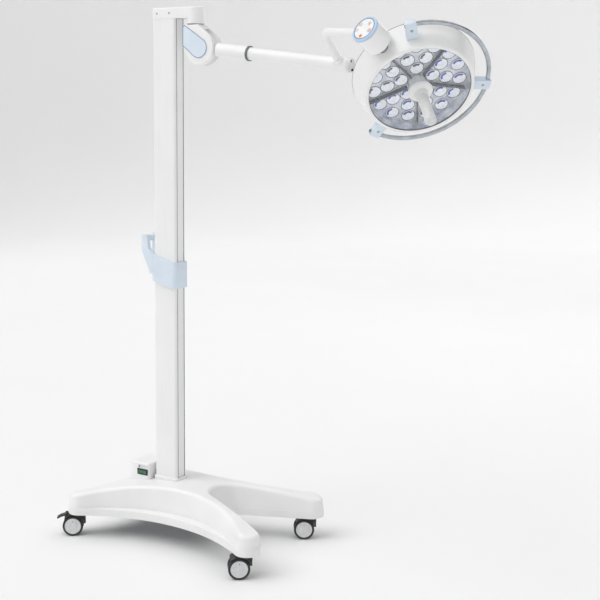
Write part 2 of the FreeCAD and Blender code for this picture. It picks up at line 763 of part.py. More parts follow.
def yoke_tube():
    """Bent tube from the yoke sleeve to the pod."""
    root, corner, goal = yoke_points()
    first = (root - corner).normalize()
    second = (goal - corner).normalize()
    turn = math.acos(max(-1.0, min(1.0, first.dot(second))))
    back = yoke_bend / math.tan(turn / 2)
    bisector = (first + second).normalize()
    centre = corner + bisector * (yoke_bend / math.sin(turn / 2))
    arc_start = corner + first * back
    arc_end_point = corner + second * back
    middle = centre - bisector * yoke_bend
    start = root - first * (sleeve_diameter / 2 - 9)
    finish = goal - second * (pod_diameter / 2 - pod_wall - seat_gap)
    path = Part.Wire([Part.LineSegment(start, arc_start).toShape(),
                      Part.Arc(arc_start, middle, arc_end_point).toShape(),
                      Part.LineSegment(arc_end_point, finish).toShape()])
    outer = Part.Wire([Part.makeCircle(yoke_tube_diameter / 2, start, first * -1)])
    tube_solid = path.makePipeShell([outer], True, False)
    return solids_of(tube_solid)


def yoke_sleeve():
    """Sleeve that turns on the arm's spigot and carries the hooked tube."""
    start = along_arm(arm_end + 0.6)
    sleeve = tube(arm_diameter + 2, yoke_spigot_diameter + 2 * running_gap, start, arm_dir,
                  yoke_sleeve_length - 0.6)
    root, corner = yoke_points()[:2]
    direction = (corner - root).normalize()
    socket = rod(yoke_tube_diameter + 8, root, direction, arm_diameter / 2 + 9)
    socket = socket.cut(rod(yoke_spigot_diameter + 8, along_arm(arm_end), arm_dir, 80))
    return solids_of(sleeve.fuse(socket).cut(yoke_tube()))


def end_disc():
    """Cover disc at the arm's end, with its two screws."""
    start = along_arm(arm_end + yoke_sleeve_length)
    disc = rod(arm_diameter + 2, start, arm_dir, end_disc_thickness)
    screws = []
    for sign in (-1, 1):
        offset = (Z_AXIS * 0.9 + Y_AXIS * -0.35).normalize() * (sign * 15)
        seat = start + offset + arm_dir * (end_disc_thickness - 3)
        disc = disc.cut(rod(6, seat, arm_dir, 5))
        screws.append(rod(6 - 2 * fit_gap, seat, arm_dir, 2.5))
    return Part.makeCompound([disc] + screws)


def pod_body():
    """Hub of the yoke: round housing that holds the dome's pivot and the keypad."""
    outer = rod(pod_diameter, V(0, 0, pod_inner), Z_AXIS, pod_face - pod_inner - 9)
    inner_edge = [e for e in outer.Edges if e.BoundBox.ZMax < pod_inner + 0.1]
    outer = outer.makeFillet(8, inner_edge)
    hollow = rod(pod_diameter - 2 * pod_wall, V(0, 0, pod_inner + 22), Z_AXIS, 80)
    bore = rod(pivot_diameter + 2 * running_gap, V(0, 0, pod_inner - 1), Z_AXIS, 40)
    pod = placed(outer.cut(hollow).cut(bore), pod_frame)
    corner, goal = yoke_points()[1:]
    direction = (corner - goal).normalize()
    port = rod(yoke_tube_diameter + 2 * fit_gap, goal + direction * 30, direction, 40)
    return solids_of(pod.cut(port))


def pod_ring():
    """Coloured trim ring round the keypad."""
    ring = tube(pod_diameter, panel_diameter + 2 * seat_gap, V(0, 0, pod_face - 9), Z_AXIS, 9)
    edge = [e for e in ring.Edges
            if e.BoundBox.ZMin > pod_face - 0.1 and e.BoundBox.XLength > pod_diameter - 1]
    ring = ring.makeFillet(4, edge)
    return placed(ring, pod_frame)


def pod_panel():
    """Keypad plate with a shallow well for each key."""
    plate = rod(panel_diameter, V(0, 0, pod_face - 8), Z_AXIS, 8)
    for x, y in key_places:
        well = rod(key_diameter + 2 * seat_gap, V(x, y, pod_face - 3), Z_AXIS, 4)
        plate = plate.cut(well)
    return placed(plate, pod_frame)


def pod_key(x, y):
    """One domed key, free to sink by its travel."""
    rest_gap = key_travel + 0.3
    key = rod(key_diameter, V(x, y, pod_face - 3 + rest_gap), Z_AXIS, 3 - rest_gap + 0.8)
    top = [e for e in key.Edges if e.BoundBox.ZMin > pod_face + 0.7]
    return placed(key.makeFillet(0.7, top), pod_frame)


# ---------------------------------------------------------------- dome
def in_dome(shape):
    return placed(shape, dome_frame)


def bezel_outer_radius(depth):
    return lip_radius + (dome_radius - lip_radius) * depth / (bezel_depth - 5)


def dome_bezel():
    """White front rim of the dome, sloping back from the window to the outer edge."""
    outer = [(window_radius - 5, 0), (lip_radius - 3, 0), (lip_radius, -3),
             (dome_radius, -bezel_depth + 5), (dome_radius, -bezel_depth)]
    inner = [(dome_radius - 4, -bezel_depth), (dome_radius - 4, -bezel_depth + 5),
             (window_radius + 1, -11), (window_radius + 1, -2), (window_radius - 5, -2)]
    bezel = turned(outer + inner)
    hole = rod(pivot_diameter + 3, V(window_radius - 20, 0, pivot_axis_height), X_AXIS, 60)
    return in_dome(solids_of(bezel.cut(hole)))


def dome_back():
    """Domed back cover."""
    z0 = -bezel_depth - seat_gap
    middle = window_radius - 40
    inner = window_radius - 100
    rings = [(dome_radius, z0), (dome_radius - 3, z0 - 7), (dome_radius - 24, z0 - 18),
             (middle, z0 - 33), (inner, z0 - back_depth + 3), (0.0, z0 - back_depth)]
    inside = [(0.0, z0 - back_depth + dome_wall), (inner, z0 - back_depth + 3 + dome_wall),
              (middle, z0 - 33 + dome_wall), (dome_radius - 25, z0 - 18 + dome_wall),
              (dome_radius - 6, z0 - 7), (dome_radius - 4, z0)]
    return in_dome(turned(rings + inside))


def window():
    """Clear front plate with a hole for the handle's hub."""
    ring = turned([(hub_radius + 2, -2.2), (window_radius, -2.2), (window_radius, -6.2),
                   (hub_radius + 2, -6.2)])
    return in_dome(ring)


def window_support():
    """Ledge ring that holds the window, the cover plate and the carrier inside the bezel."""
    z0 = -lens_face - lens_height - 4
    ring = turned([(window_radius - 6, -6.2 - seat_gap), (window_radius, -6.2 - seat_gap),
                   (window_radius, z0), (window_radius - 6, z0)])
    hole = rod(pivot_diameter + 3, V(window_radius - 20, 0, pivot_axis_height), X_AXIS, 60)
    return ring.cut(hole)


def lens_centres():
    """Centres of all the lenses, ring by ring, evenly spread over each sector."""
    places = []
    for count, pitch in zip(ring_lenses, ring_pitch):
        radius = lens_circle - pitch
        step = 360.0 / (sectors * count)
        for i in range(sectors * count):
            places.append(polar(radius, sector_turn + (i + 0.5) * step))
    return places


def reflector_plate():
    """Moulded cover between the lenses, with five radial ribs and the outer wall."""
    top = cover_level
    plate = turned([(hub_radius + 3, top - 4), (hub_radius + 3, top),
                    (window_radius - 6, top), (window_radius - 6, top - 4)])
    for centre in lens_centres():
        plate = plate.cut(rod(lens_diameter + 0.6, V(centre.x, centre.y, top - 5), Z_AXIS, 6))
    ribs = []
    for i in range(sectors):
        rib = box(hub_radius + 4, window_radius - 7, -1.5, 1.5, top - 1, top + 16)
        rib.rotate(V(0, 0, 0), Z_AXIS, sector_turn + i * 360.0 / sectors)
        ribs.append(rib)
    plate = plate.fuse(ribs).fuse(window_support())
    return in_dome(solids_of(plate))


def lens_set():
    """Thirty collimator lenses."""
    lenses = []
    low = -lens_face - lens_height
    for centre in lens_centres():
        cone = Part.makeCone(9, lens_diameter / 2, lens_height - 2, V(centre.x, centre.y, low))
        rim = rod(lens_diameter, V(centre.x, centre.y, low + lens_height - 2), Z_AXIS, 2)
        lenses.append(in_dome(cone.fuse(rim)))
    return Part.makeCompound(lenses)


def led_board():
    """Circuit board with one emitter under each lens."""
    board = turned([(26, board_top - board_thickness), (26, board_top), (window_radius - 8, board_top),
                    (window_radius - 8, board_top - board_thickness)])
    chips = []
    for centre in lens_centres():
        chips.append(box(centre.x - 3, centre.x + 3, centre.y - 3, centre.y + 3,
                         board_top - 0.2, board_top + 1.0))
    return in_dome(solids_of(board.fuse(chips)))


def led_carrier():
    """Aluminium carrier plate and heat sink behind the board, with cooling fins."""
    rim = window_radius - 6 - seat_gap
    plate = turned([(0, carrier_top - 5), (0, carrier_top), (rim, carrier_top),
                    (rim, carrier_top - 5)])
    fins = []
    fin_reach = window_radius - 40
    fin_pitch = fin_reach / 5
    for i in range(-4, 5):
        reach = math.sqrt(fin_reach ** 2 - (i * fin_pitch) ** 2)
        fins.append(box(-reach, reach, i * fin_pitch - 1.5, i * fin_pitch + 1.5,
                        carrier_top - 17, carrier_top - 4))
    carrier = plate.fuse(fins)
    return in_dome(solids_of(carrier))


def dome_pivot():
    """Pivot shaft of the dome: a bracket on the carrier and a hollow journal in the pod."""
    start = window_radius + 3
    shaft = rod(pivot_diameter, V(start, 0, pivot_axis_height), X_AXIS, pod_inner + 20 - start)
    plate_low = carrier_top - 5
    web = box(start, start + 3, -20, 20, plate_low - 7, pivot_axis_height + 20)
    foot = box(window_radius - 30, start + 3, -20, 20, plate_low - 7, plate_low - fit_gap)
    wire_hole = rod(14, V(start - 1, 0, pivot_axis_height), X_AXIS, 80)
    return in_dome(solids_of(shaft.fuse(web).fuse(foot).cut(wire_hole)))


def ring_arc():
    """Swept tube of the ring handle between its first and last clamps."""
    overrun = 5.0
    start = clamp_angles[-1] - overrun
    sweep = clamp_angles[0] - clamp_angles[-1] + 2 * overrun
    profile = Part.Wire([Part.makeCircle(ring_tube / 2, V(ring_radius, 0, -ring_level), Y_AXIS)])
    ring = Part.Face(profile).revolve(V(0, 0, 0), Z_AXIS, sweep)
    ring.rotate(V(0, 0, 0), Z_AXIS, start)
    return ring


def grip_ring():
    """Chrome ring handle round two thirds of the dome."""
    return in_dome(ring_arc())


def ring_clamps():
    """Three clamp blocks that hold the ring to the bezel, each with a screw."""
    pieces = []
    ring = ring_arc()
    bezel = turned([(0, 0), (lip_radius, 0), (dome_radius, -bezel_depth + 5),
                    (dome_radius, -bezel_depth), (0, -bezel_depth)])
    for angle in clamp_angles:
        inner = bezel_outer_radius(ring_level) - 8
        block = box(inner, ring_radius + 12, -clamp_width / 2, clamp_width / 2,
                    -ring_level - 12, -ring_level + 12)
        edges = [e for e in block.Edges if e.BoundBox.XMin > ring_radius]
        block = block.makeFillet(6, edges)
        pocket = rod(9, V(ring_radius - 16, 0, -ring_level + 8), Z_AXIS, 8)
        screw = rod(9 - 2 * fit_gap, V(ring_radius - 16, 0, -ring_level + 8), Z_AXIS, 3.2)
        block = block.cut(pocket)
        for piece in (block, screw):
            piece.rotate(V(0, 0, 0), Z_AXIS, angle)
        pieces.append(in_dome(block.cut(bezel).cut(ring)))
        pieces.append(in_dome(screw))
    return Part.makeCompound(pieces)


def handle_hub():
    """White hub in the middle of the dome with the spigot for the sterile handle."""
    foot = carrier_top
    hub = turned([(0, foot), (hub_radius - 4, foot), (hub_radius - 4, board_top + 2),
                  (hub_radius, board_top + 8), (hub_radius, -6), (hub_radius, 0.3),
                  (collar_radius, 0.3), (collar_radius, 6), (collar_radius - 4, 9),
                  (grip_diameter / 2 + 3, 13), (grip_diameter / 2, grip_offset - seat_gap),
                  (spigot_diameter / 2, grip_offset - seat_gap),
                  (spigot_diameter / 2, grip_offset + grip_length - 22),
                  (0, grip_offset + grip_length - 22)])
    return in_dome(hub)


def sterile_grip():
    """Removable handle sleeve, closed at its free end."""
    low = grip_offset
    high = grip_offset + grip_length
    half = grip_diameter / 2
    bore = spigot_diameter / 2 + running_gap
    grip = turned([(bore, low), (half, low), (half + 2.5, low + 3), (half, low + 9),
                   (half, high - 5), (half - 5, high), (0, high), (0, high - 20),
                   (bore, high - 20)])
    return in_dome(grip)


# ---------------------------------------------------------------- casters
def caster_frame(name):
    stem = stem_positions()[name]
    return FreeCAD.Placement(stem, FreeCAD.Rotation(Z_AXIS, caster_headings[name]))


def pedal_ears():
    """Two ears on the hood that carry the brake pedal's pin."""
    ears = []
    for y0 in (-pedal_half - seat_gap - 3, pedal_half + seat_gap):
        ear = box(pedal_x - 4, pedal_x + 5, y0, y0 + 3, pedal_z - 9, pedal_z + 3.5)
        hole = rod(pedal_pin + 2 * running_gap, V(pedal_x, y0 - 1, pedal_z), Y_AXIS, 5)
        ears.append(ear.cut(hole))
    return ears


def caster_housing(name):
    """Core between the wheels, hood over them, and the swivel stem."""
    radius = wheel_diameter / 2
    core_half = wheel_gap / 2 - 1
    half = wheel_gap / 2 + wheel_width + 1.5
    core = rod(wheel_diameter - 18, V(-trail, -core_half, radius), Y_AXIS, 2 * core_half)
    neck = box(-trail - 8, 17, -core_half, core_half, radius + 4, base_underside - 8)
    hood_inner = radius + hood_gap
    hood = tube(2 * (hood_inner + 3), 2 * hood_inner, V(-trail, -half, radius), Y_AXIS, 2 * half)
    keep = box(-trail - 30, 30, -half, half, radius + 16, base_underside - 6)
    crown = box(-14, 17, -half + 10, half - 10, radius + hood_gap + 24, base_underside - 4)
    head = rod(34, V(0, 0, base_underside - 12), Z_AXIS, 11.5)
    body = core.fuse(neck).fuse(hood.common(keep)).fuse(crown).fuse(head)
    for y0 in (core_half + 0.01, -core_half - 0.01 - wheel_width - 3):
        room = rod(2 * hood_inner, V(-trail, y0, radius), Y_AXIS, wheel_width + 3)
        body = body.cut(room)
    stem = rod(stem_diameter, V(0, 0, base_underside - 2), Z_AXIS, socket_height - 2)
    body = body.fuse(stem)
    if name in braked:
        body = body.fuse(pedal_ears())
    bore = rod(axle_diameter + 2 * running_gap, V(-trail, -half - 1, radius), Y_AXIS, 2 * half + 2)
    return placed(solids_of(body.cut(bore)), caster_frame(name))


def caster_tyres(name):
    """The two rubber treads of one caster."""
    radius = wheel_diameter / 2
    tyres = []
    for y0 in (wheel_gap / 2, -wheel_gap / 2 - wheel_width):
        tyre = tube(wheel_diameter, wheel_diameter - 16, V(-trail, y0, radius), Y_AXIS, wheel_width)
        edges = [e for e in tyre.Edges if e.BoundBox.XLength > wheel_diameter - 1]
        tyres.append(placed(tyre.makeFillet(3, edges), caster_frame(name)))
    return Part.makeCompound(tyres)


def caster_hubs(name):
    """Both wheel centres on their common axle."""
    radius = wheel_diameter / 2
    half = wheel_gap / 2 + wheel_width
    pair = rod(axle_diameter, V(-trail, -half, radius), Y_AXIS, 2 * half)
    for sign in (-1, 1):
        y0 = sign * (wheel_gap / 2 + 0.5)
        disc = rod(wheel_diameter - 16, V(-trail, y0, radius), Y_AXIS * sign, wheel_width - 1.0)
        boss = rod(34, V(-trail, y0 + sign * (wheel_width - 2), radius), Y_AXIS * sign, 2.8)
        pair = pair.fuse(disc).fuse(boss)
    return placed(solids_of(pair), caster_frame(name))


def brake_pedal(name):
    """Foot pedal on a pin between the hood's ears."""
    x = pedal_x
    z = pedal_z
    lever = plate_xz([(x + 4, z - 2.5), (x - 18, z - 9), (x - 31, z - 16), (x - 33, z - 12),
                      (x - 19, z - 4), (x + 4, z + 3)], -pedal_half, pedal_half)
    reach = pedal_half + seat_gap + 2.5
    pin = rod(pedal_pin, V(x, -reach, z), Y_AXIS, 2 * reach)
    return placed(solids_of(lever.fuse(pin)), caster_frame(name))


# ---------------------------------------------------------------- assembly
def all_nodes():
    nodes = {
        "base_shell": base_shell(), "base_frame": base_frame(),
        "ballast_plates": ballast_plates(), "rear_housing": rear_housing(),
        "power_supply": power_supply(), "inlet_socket": inlet_socket(),
        "switch_frame": switch_frame(), "switch_rocker": switch_rocker(),
        "foot_trim": foot_trim(), "column_profile": column_profile(),
        "column_strip": column_strip(), "column_cap": column_cap(),
        "swivel_bush": swivel_bush(), "push_handle": push_handle(),
        "swivel_spindle": swivel_spindle(), "knuckle_housing": knuckle_housing(),
        "knuckle_plates": knuckle_plates(), "hinge_pin": hinge_pin(),
        "arm_root": arm_root(), "arm_sleeve": arm_sleeve(), "arm_ring": arm_ring(),
        "arm_tube": arm_tube(), "balance_strut": balance_strut(), "arm_spigot": arm_spigot(),
        "yoke_sleeve": yoke_sleeve(), "end_disc": end_disc(), "yoke_tube": yoke_tube(),
        "pod_body": pod_body(), "pod_ring": pod_ring(), "pod_panel": pod_panel(),
        "dome_pivot": dome_pivot(), "dome_back": dome_back(), "dome_bezel": dome_bezel(),
        "window": window(), "reflector_plate": reflector_plate(), "lens_set": lens_set(),
        "led_board": led_board(), "led_carrier": led_carrier(), "grip_ring": grip_ring(),
        "ring_clamps": ring_clamps(), "handle_hub": handle_hub(), "sterile_grip": sterile_grip(),
    }
    for i, (x, y) in enumerate(key_places):
        nodes["key_%d" % (i + 1)] = pod_key(x, y)
    for name in caster_headings:
        nodes["caster_housing_" + name] = caster_housing(name)
        nodes["tyres_" + name] = caster_tyres(name)
        nodes["hubs_" + name] = caster_hubs(name)
    for name in braked:
        nodes["brake_pedal_" + name] = brake_pedal(name)
    return nodes


def footprint_origin(nodes):
    """The bottom centre of the whole model's box."""
    whole = FreeCAD.BoundBox()
    for shape in nodes.values():
        whole.add(shape.optimalBoundingBox(False))
    return V((whole.XMin + whole.XMax) / 2, (whole.YMin + whole.YMax) / 2, whole.ZMin)


def main():
    os.makedirs("parts", exist_ok=True)
    nodes = all_nodes()
    origin = footprint_origin(nodes)
    print("column axis at X %.3f Y %.3f" % (-origin.x, -origin.y))
    for name, shape in nodes.items():
        shape.translate(origin * -1)
        shape.exportStep("parts/%s.step" % name)


if __name__ == "__main__":
    main()
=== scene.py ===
import json
import math

import bmesh
import bpy
from bpy.props import FloatProperty, FloatVectorProperty, IntProperty, PointerProperty
from mathutils import Matrix, Vector

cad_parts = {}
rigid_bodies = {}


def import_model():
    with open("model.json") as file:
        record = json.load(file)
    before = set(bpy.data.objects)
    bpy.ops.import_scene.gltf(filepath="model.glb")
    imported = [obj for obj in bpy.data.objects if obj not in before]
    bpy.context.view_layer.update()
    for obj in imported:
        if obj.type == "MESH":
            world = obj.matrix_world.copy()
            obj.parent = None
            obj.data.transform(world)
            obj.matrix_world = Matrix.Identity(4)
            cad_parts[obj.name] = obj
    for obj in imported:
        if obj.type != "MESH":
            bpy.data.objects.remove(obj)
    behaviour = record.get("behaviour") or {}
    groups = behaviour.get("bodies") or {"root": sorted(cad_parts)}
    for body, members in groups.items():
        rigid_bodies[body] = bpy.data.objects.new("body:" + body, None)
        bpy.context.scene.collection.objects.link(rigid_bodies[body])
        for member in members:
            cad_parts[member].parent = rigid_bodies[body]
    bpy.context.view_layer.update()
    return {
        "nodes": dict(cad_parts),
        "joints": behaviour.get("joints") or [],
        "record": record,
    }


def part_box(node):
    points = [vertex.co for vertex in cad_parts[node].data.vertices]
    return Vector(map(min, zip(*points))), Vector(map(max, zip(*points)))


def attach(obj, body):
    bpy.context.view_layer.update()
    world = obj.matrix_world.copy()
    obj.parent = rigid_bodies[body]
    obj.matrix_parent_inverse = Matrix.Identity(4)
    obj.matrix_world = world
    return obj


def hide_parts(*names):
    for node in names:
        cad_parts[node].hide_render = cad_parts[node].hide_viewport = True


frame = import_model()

bl_info = {
    "name": "Mobile surgical light",
    "version": (1, 0, 0),
    "blender": (4, 5, 0),
    "location": "View3D > Sidebar > Surgical light",
    "description": "Finishes and detail pieces of a surgical light on a castored stand",
    "category": "Object",
}

MM = 0.001
MERGE_WITHIN = 1e-6                       # metres between points that are one point
FLAT_WITHIN = 0.6                         # degrees between faces that are one face
nodes = frame["nodes"]
joint = {j["name"]: j for j in frame["joints"]}


# ---------------------------------------------------------------- places taken from the frame
def frame_matrix(origin, x_axis, z_axis):
    """A frame whose X and Z run along the two directions given."""
    x_axis = Vector(x_axis).normalized()
    z_axis = Vector(z_axis).normalized()
    y_axis = z_axis.cross(x_axis)
    turn = Matrix((x_axis, y_axis, z_axis)).transposed().to_4x4()
    return Matrix.Translation(Vector(origin)) @ turn


beam = Vector(joint["grip_pull"]["axis"])
pod_axis = Vector(joint["dome_turn"]["axis"])
pivot = Vector(joint["dome_turn"]["pos_m"])
POD_LEVEL = 50 * MM                       # pod axis to the window's face, along the beam
dome_frame = frame_matrix(pivot + beam * POD_LEVEL, pod_axis, beam)
pod_frame = frame_matrix(pivot, beam, pod_axis)
arm_axis = Vector(joint["arm_roll"]["axis"])
pin_centre = Vector(joint["arm_lift"]["pos_m"])
caster_names = ("fl", "fr", "rl", "rr")


def reach_along(node, origin, direction):
    """How far a node's points go from origin along a direction: lowest and highest."""
    steps = [(v.co - origin).dot(direction) for v in nodes[node].data.vertices]
    return min(steps), max(steps)


def wheel_frame(name):
    """Frame at the middle of a caster's axle, its Z along the axle."""
    turning = joint["wheels_turn_" + name]
    return frame_matrix(turning["pos_m"], (0, 0, 1), turning["axis"])


# ---------------------------------------------------------------- colours
def linear(code):
    """An sRGB hex colour as linear red, green and blue."""
    parts = [int(code[i:i + 2], 16) / 255 for i in (1, 3, 5)]
    return tuple(p / 12.92 if p <= 0.04045 else ((p + 0.055) / 1.055) ** 2.4 for p in parts)


def colour_property(name, description, code):
    return FloatVectorProperty(name=name, description=description, default=linear(code),
                               subtype="COLOR", size=3, min=0, max=1)


class LightFinish(bpy.types.PropertyGroup):
    """Colours of the light's finishes."""
    shell_white: colour_property("Shell white", "Moulded covers of base and dome", "#F2F2F2")
    paint_white: colour_property("Paint white", "Powder coat on column and arm", "#F0F0F0")
    pale_blue: colour_property("Pale blue", "Handle, plates and clamps", "#DAE6F2")
    trim_blue: colour_property("Trim blue", "Ring round the keypad", "#BDD4EE")
    outline_blue: colour_property("Outline blue", "Edging of plates and keypad", "#6F82A6")
    icon_orange: colour_property("Icon orange", "Signs on the keys", "#E58A2E")
    rocker_green: colour_property("Rocker green", "Mains switch rocker", "#0E7048")
    hub_grey: colour_property("Hub grey", "Wheel covers and end cap", "#E0E1E3")
    tyre_black: colour_property("Tyre black", "Wheel treads", "#17181A")


class LightSizes(bpy.types.PropertyGroup):
    """Sizes of the detail that is modelled here."""
    soft_edge: FloatProperty(name="Soft edge", description="Rounding of the push handle",
                             default=3.5 * MM, unit="LENGTH")
    ring_tube: FloatProperty(name="Ring tube", description="Diameter of the ring handle",
                             default=15 * MM, unit="LENGTH")
    lens_facets: IntProperty(name="Lens facets", description="Sides of each collimator",
                             default=16, min=6)
    seam_width: FloatProperty(name="Seam width", description="Width of the dome's joint line",
                              default=1.6 * MM, unit="LENGTH")


class LightStudio(bpy.types.PropertyGroup):
    """Camera and light of the studio."""
    camera_place: FloatVectorProperty(name="Camera place", description="Where the camera stands",
                                      default=(2.104, -3.2574, 1.5683), subtype="TRANSLATION")
    camera_heading: FloatProperty(name="Camera heading", description="Turn to the left of +Y",
                                  default=math.radians(31.056), subtype="ANGLE")
    camera_dip: FloatProperty(name="Camera dip", description="Tilt below level",
                              default=math.radians(7.124), subtype="ANGLE")
    camera_roll: FloatProperty(name="Camera roll", description="Roll about the line of sight",
                               default=math.radians(0.532), subtype="ANGLE")
    lens: FloatProperty(name="Lens", description="Focal length in millimetres", default=67.88)
    shift: FloatProperty(name="Shift", description="Upward shift as a share of the picture",
                         default=-0.08)
    key_power: FloatProperty(name="Key power", description="Watts that the soft boxes take shares of",
                             default=70)


# ---------------------------------------------------------------- modelling helpers
def object_mode():
    """Leaves edit mode."""
    if bpy.context.object and bpy.context.object.mode != "OBJECT":
        bpy.ops.object.mode_set(mode="OBJECT")


def select_only(*objects):
    """Selects these objects alone and makes the first one active."""
    object_mode()
    for other in list(bpy.context.view_layer.objects):
        if other.select_get():
            other.select_set(False)
    for obj in objects:
        obj.select_set(True)
    bpy.context.view_layer.objects.active = objects[0]


def edit(obj):
    """Opens an object's mesh with its points selectable."""
    select_only(obj)
    bpy.ops.object.mode_set(mode="EDIT")
    bpy.ops.mesh.select_mode(type="VERT")


def select_all():
    bpy.ops.mesh.select_all(action="SELECT")


def pick_faces(obj, wanted):
    """Selects, in edit mode, only the faces that wanted() accepts."""
    bpy.ops.mesh.select_mode(type="FACE")
    bpy.ops.mesh.select_all(action="DESELECT")
    mesh = bmesh.from_edit_mesh(obj.data)
    for face in mesh.faces:
        face.select_set(bool(wanted(face)))
    bmesh.update_edit_mesh(obj.data)


def clean():
    """Merges points that meet and turns every face outwards."""
    select_all()
    bpy.ops.mesh.remove_doubles(threshold=MERGE_WITHIN)
    bpy.ops.mesh.normals_make_consistent(inside=False)


def new_piece(name, add, **settings):
    """Adds a primitive and gives its object the piece's name."""
    object_mode()
    add(**settings)
    piece = bpy.context.object
    piece.name = name
    piece.data.name = name
    return piece


def place(piece, matrix):
    """Moves a piece modelled at the origin into its frame, and leaves its object at the origin."""
    select_only(piece)
    piece.matrix_world = matrix @ piece.matrix_world
    settle()


def copy_of(piece, name, matrix):
    """A copy with a mesh of its own, moved by matrix."""
    select_only(piece)
    bpy.ops.object.duplicate(linked=False)
    twin = bpy.context.object
    twin.name = name
    twin.data.name = name
    place(twin, matrix)
    return twin


def join(name, pieces):
    """Joins pieces into one object of that name."""
    select_only(*pieces)
    if len(pieces) > 1:
        bpy.ops.object.join()
    whole = bpy.context.object
    whole.name = name
    whole.data.name = name
    return whole


def apply_modifier(piece, kind, **settings):
    """Adds a modifier with these settings and applies it."""
    select_only(piece)
    modifier = piece.modifiers.new(kind.title(), kind)
    for key, value in settings.items():
        setattr(modifier, key, value)
    bpy.ops.object.modifier_apply(modifier=modifier.name)


def round_edges(piece, width, segments=3, above=35):
    """Rounds the edges that turn by more than an angle in degrees."""
    apply_modifier(piece, "BEVEL", width=width, segments=segments, limit_method="ANGLE",
                   angle_limit=math.radians(above), miter_outer="MITER_ARC")


def smooth(piece, below=35):
    """Smooth shading, with creases left where faces turn by more than an angle in degrees."""
    select_only(piece)
    bpy.ops.object.shade_smooth_by_angle(angle=math.radians(below))


def traced(name, points):
    """A chain of edges through points, selected and in edit mode."""
    piece = new_piece(name, bpy.ops.mesh.primitive_plane_add, size=1 * MM)
    edit(piece)
    select_all()
    bpy.ops.mesh.merge(type="CENTER")
    bpy.ops.transform.translate(value=points[0])
    for start, end in zip(points, points[1:]):
        bpy.ops.mesh.extrude_vertices_move(TRANSFORM_OT_translate={"value": end - start})
    select_all()
    return piece


def turned(name, profile, steps=96, closed=False, sweep=360.0, flat=False):
    """Spins a profile of (radius, height) points, in millimetres, about Z."""
    points = [Vector((r * MM, 0, z * MM)) for r, z in profile]
    if closed:
        points.append(points[0])
    piece = traced(name, points)
    bpy.ops.mesh.spin(steps=steps, angle=-math.radians(sweep), center=(0, 0, 0), axis=(0, 0, 1))
    clean()
    object_mode()
    if not flat:
        smooth(piece)
    return piece


def extruded(name, corners, height):
    """A flat outline of (x, y) points, in millimetres, raised along Z."""
    points = [Vector((x * MM, y * MM, 0)) for x, y in corners]
    piece = traced(name, points + points[:1])
    bpy.ops.mesh.remove_doubles(threshold=MERGE_WITHIN)
    select_all()
    bpy.ops.mesh.edge_face_add()
    bpy.ops.mesh.extrude_region_move(TRANSFORM_OT_translate={"value": (0, 0, height * MM)})
    clean()
    object_mode()
    return piece


def merged_copy(name, node):
    """A copy of a CAD node with its triangles merged into whole faces, in edit mode."""
    select_only(nodes[node])
    bpy.ops.object.duplicate(linked=False)
    piece = bpy.context.object
    piece.name = name
    piece.data.name = name
    piece.parent = None
    for key in list(piece.keys()):
        del piece[key]
    edit(piece)
    select_all()
    bpy.ops.mesh.remove_doubles(threshold=2e-6)
    select_all()
    bpy.ops.mesh.dissolve_limited(angle_limit=math.radians(FLAT_WITHIN))
    return piece


def softened(name, width, node, segments=3):
    """A copy of a CAD node with its sharp edges rounded."""
    piece = merged_copy(name, node)
    object_mode()
    round_edges(piece, width, segments)
    smooth(piece)
    return piece


def finish_piece(piece, body, finish, replaced=()):
    """Gives a piece its material and the body it moves with."""
    piece.data.materials.clear()
    piece.data.materials.append(finish_of(finish))
    if replaced:
        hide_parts(*replaced)
    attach(piece, body)
    return piece


def fit_on_dome(piece, finish, replaced=()):
    """Moves a piece that was modelled on the dome's axis to the dome, and finishes it."""
    place(piece, dome_frame)
    finish_piece(piece, "dome", finish, replaced)


def settle():
    """Puts the active piece's place, turn and scale into its mesh."""
    bpy.ops.object.transform_apply(location=True, rotation=True, scale=True)


def body_of(node):
    """The body that holds a CAD node."""
    for name, members in frame["record"]["behaviour"]["bodies"].items():
        if node in members:
            return name
    raise RuntimeError("no body holds " + node)


# ---------------------------------------------------------------- materials
def add_node(tree, kind, settings=None, links=None):
    """Adds one node, sets its properties and inputs, and links its inputs."""
    node = tree.nodes.new(kind)
    for key, value in (settings or {}).items():
        if isinstance(key, str) and hasattr(node, key):
            setattr(node, key, value)
        else:
            node.inputs[key].default_value = value
    for key, (source, output) in (links or {}).items():
        tree.links.new(source.outputs[output], node.inputs[key])
    return node


def rgba(colour):
    """A colour with full alpha, as colour sockets take it."""
    return (colour[0], colour[1], colour[2], 1.0)


def as_colour(colour):
    """A colour that may be written as a hex code."""
    return linear(colour) if isinstance(colour, str) else colour


def shaded(colour, share):
    """The colour made darker or lighter by a share."""
    return tuple(c * share for c in colour)


def start_material(name):
    """A new material with its node tree, its shader and object coordinates."""
    material = bpy.data.materials.new(name)
    material.use_nodes = True
    tree = material.node_tree
    shader = tree.nodes["Principled BSDF"]
    coords = add_node(tree, "ShaderNodeTexCoord")
    return material, tree, shader, coords


DUST_FROM, DUST_TO = 20 * MM, 130 * MM    # heights between which dust fades away
DUST_COLOUR = "#A39E96"


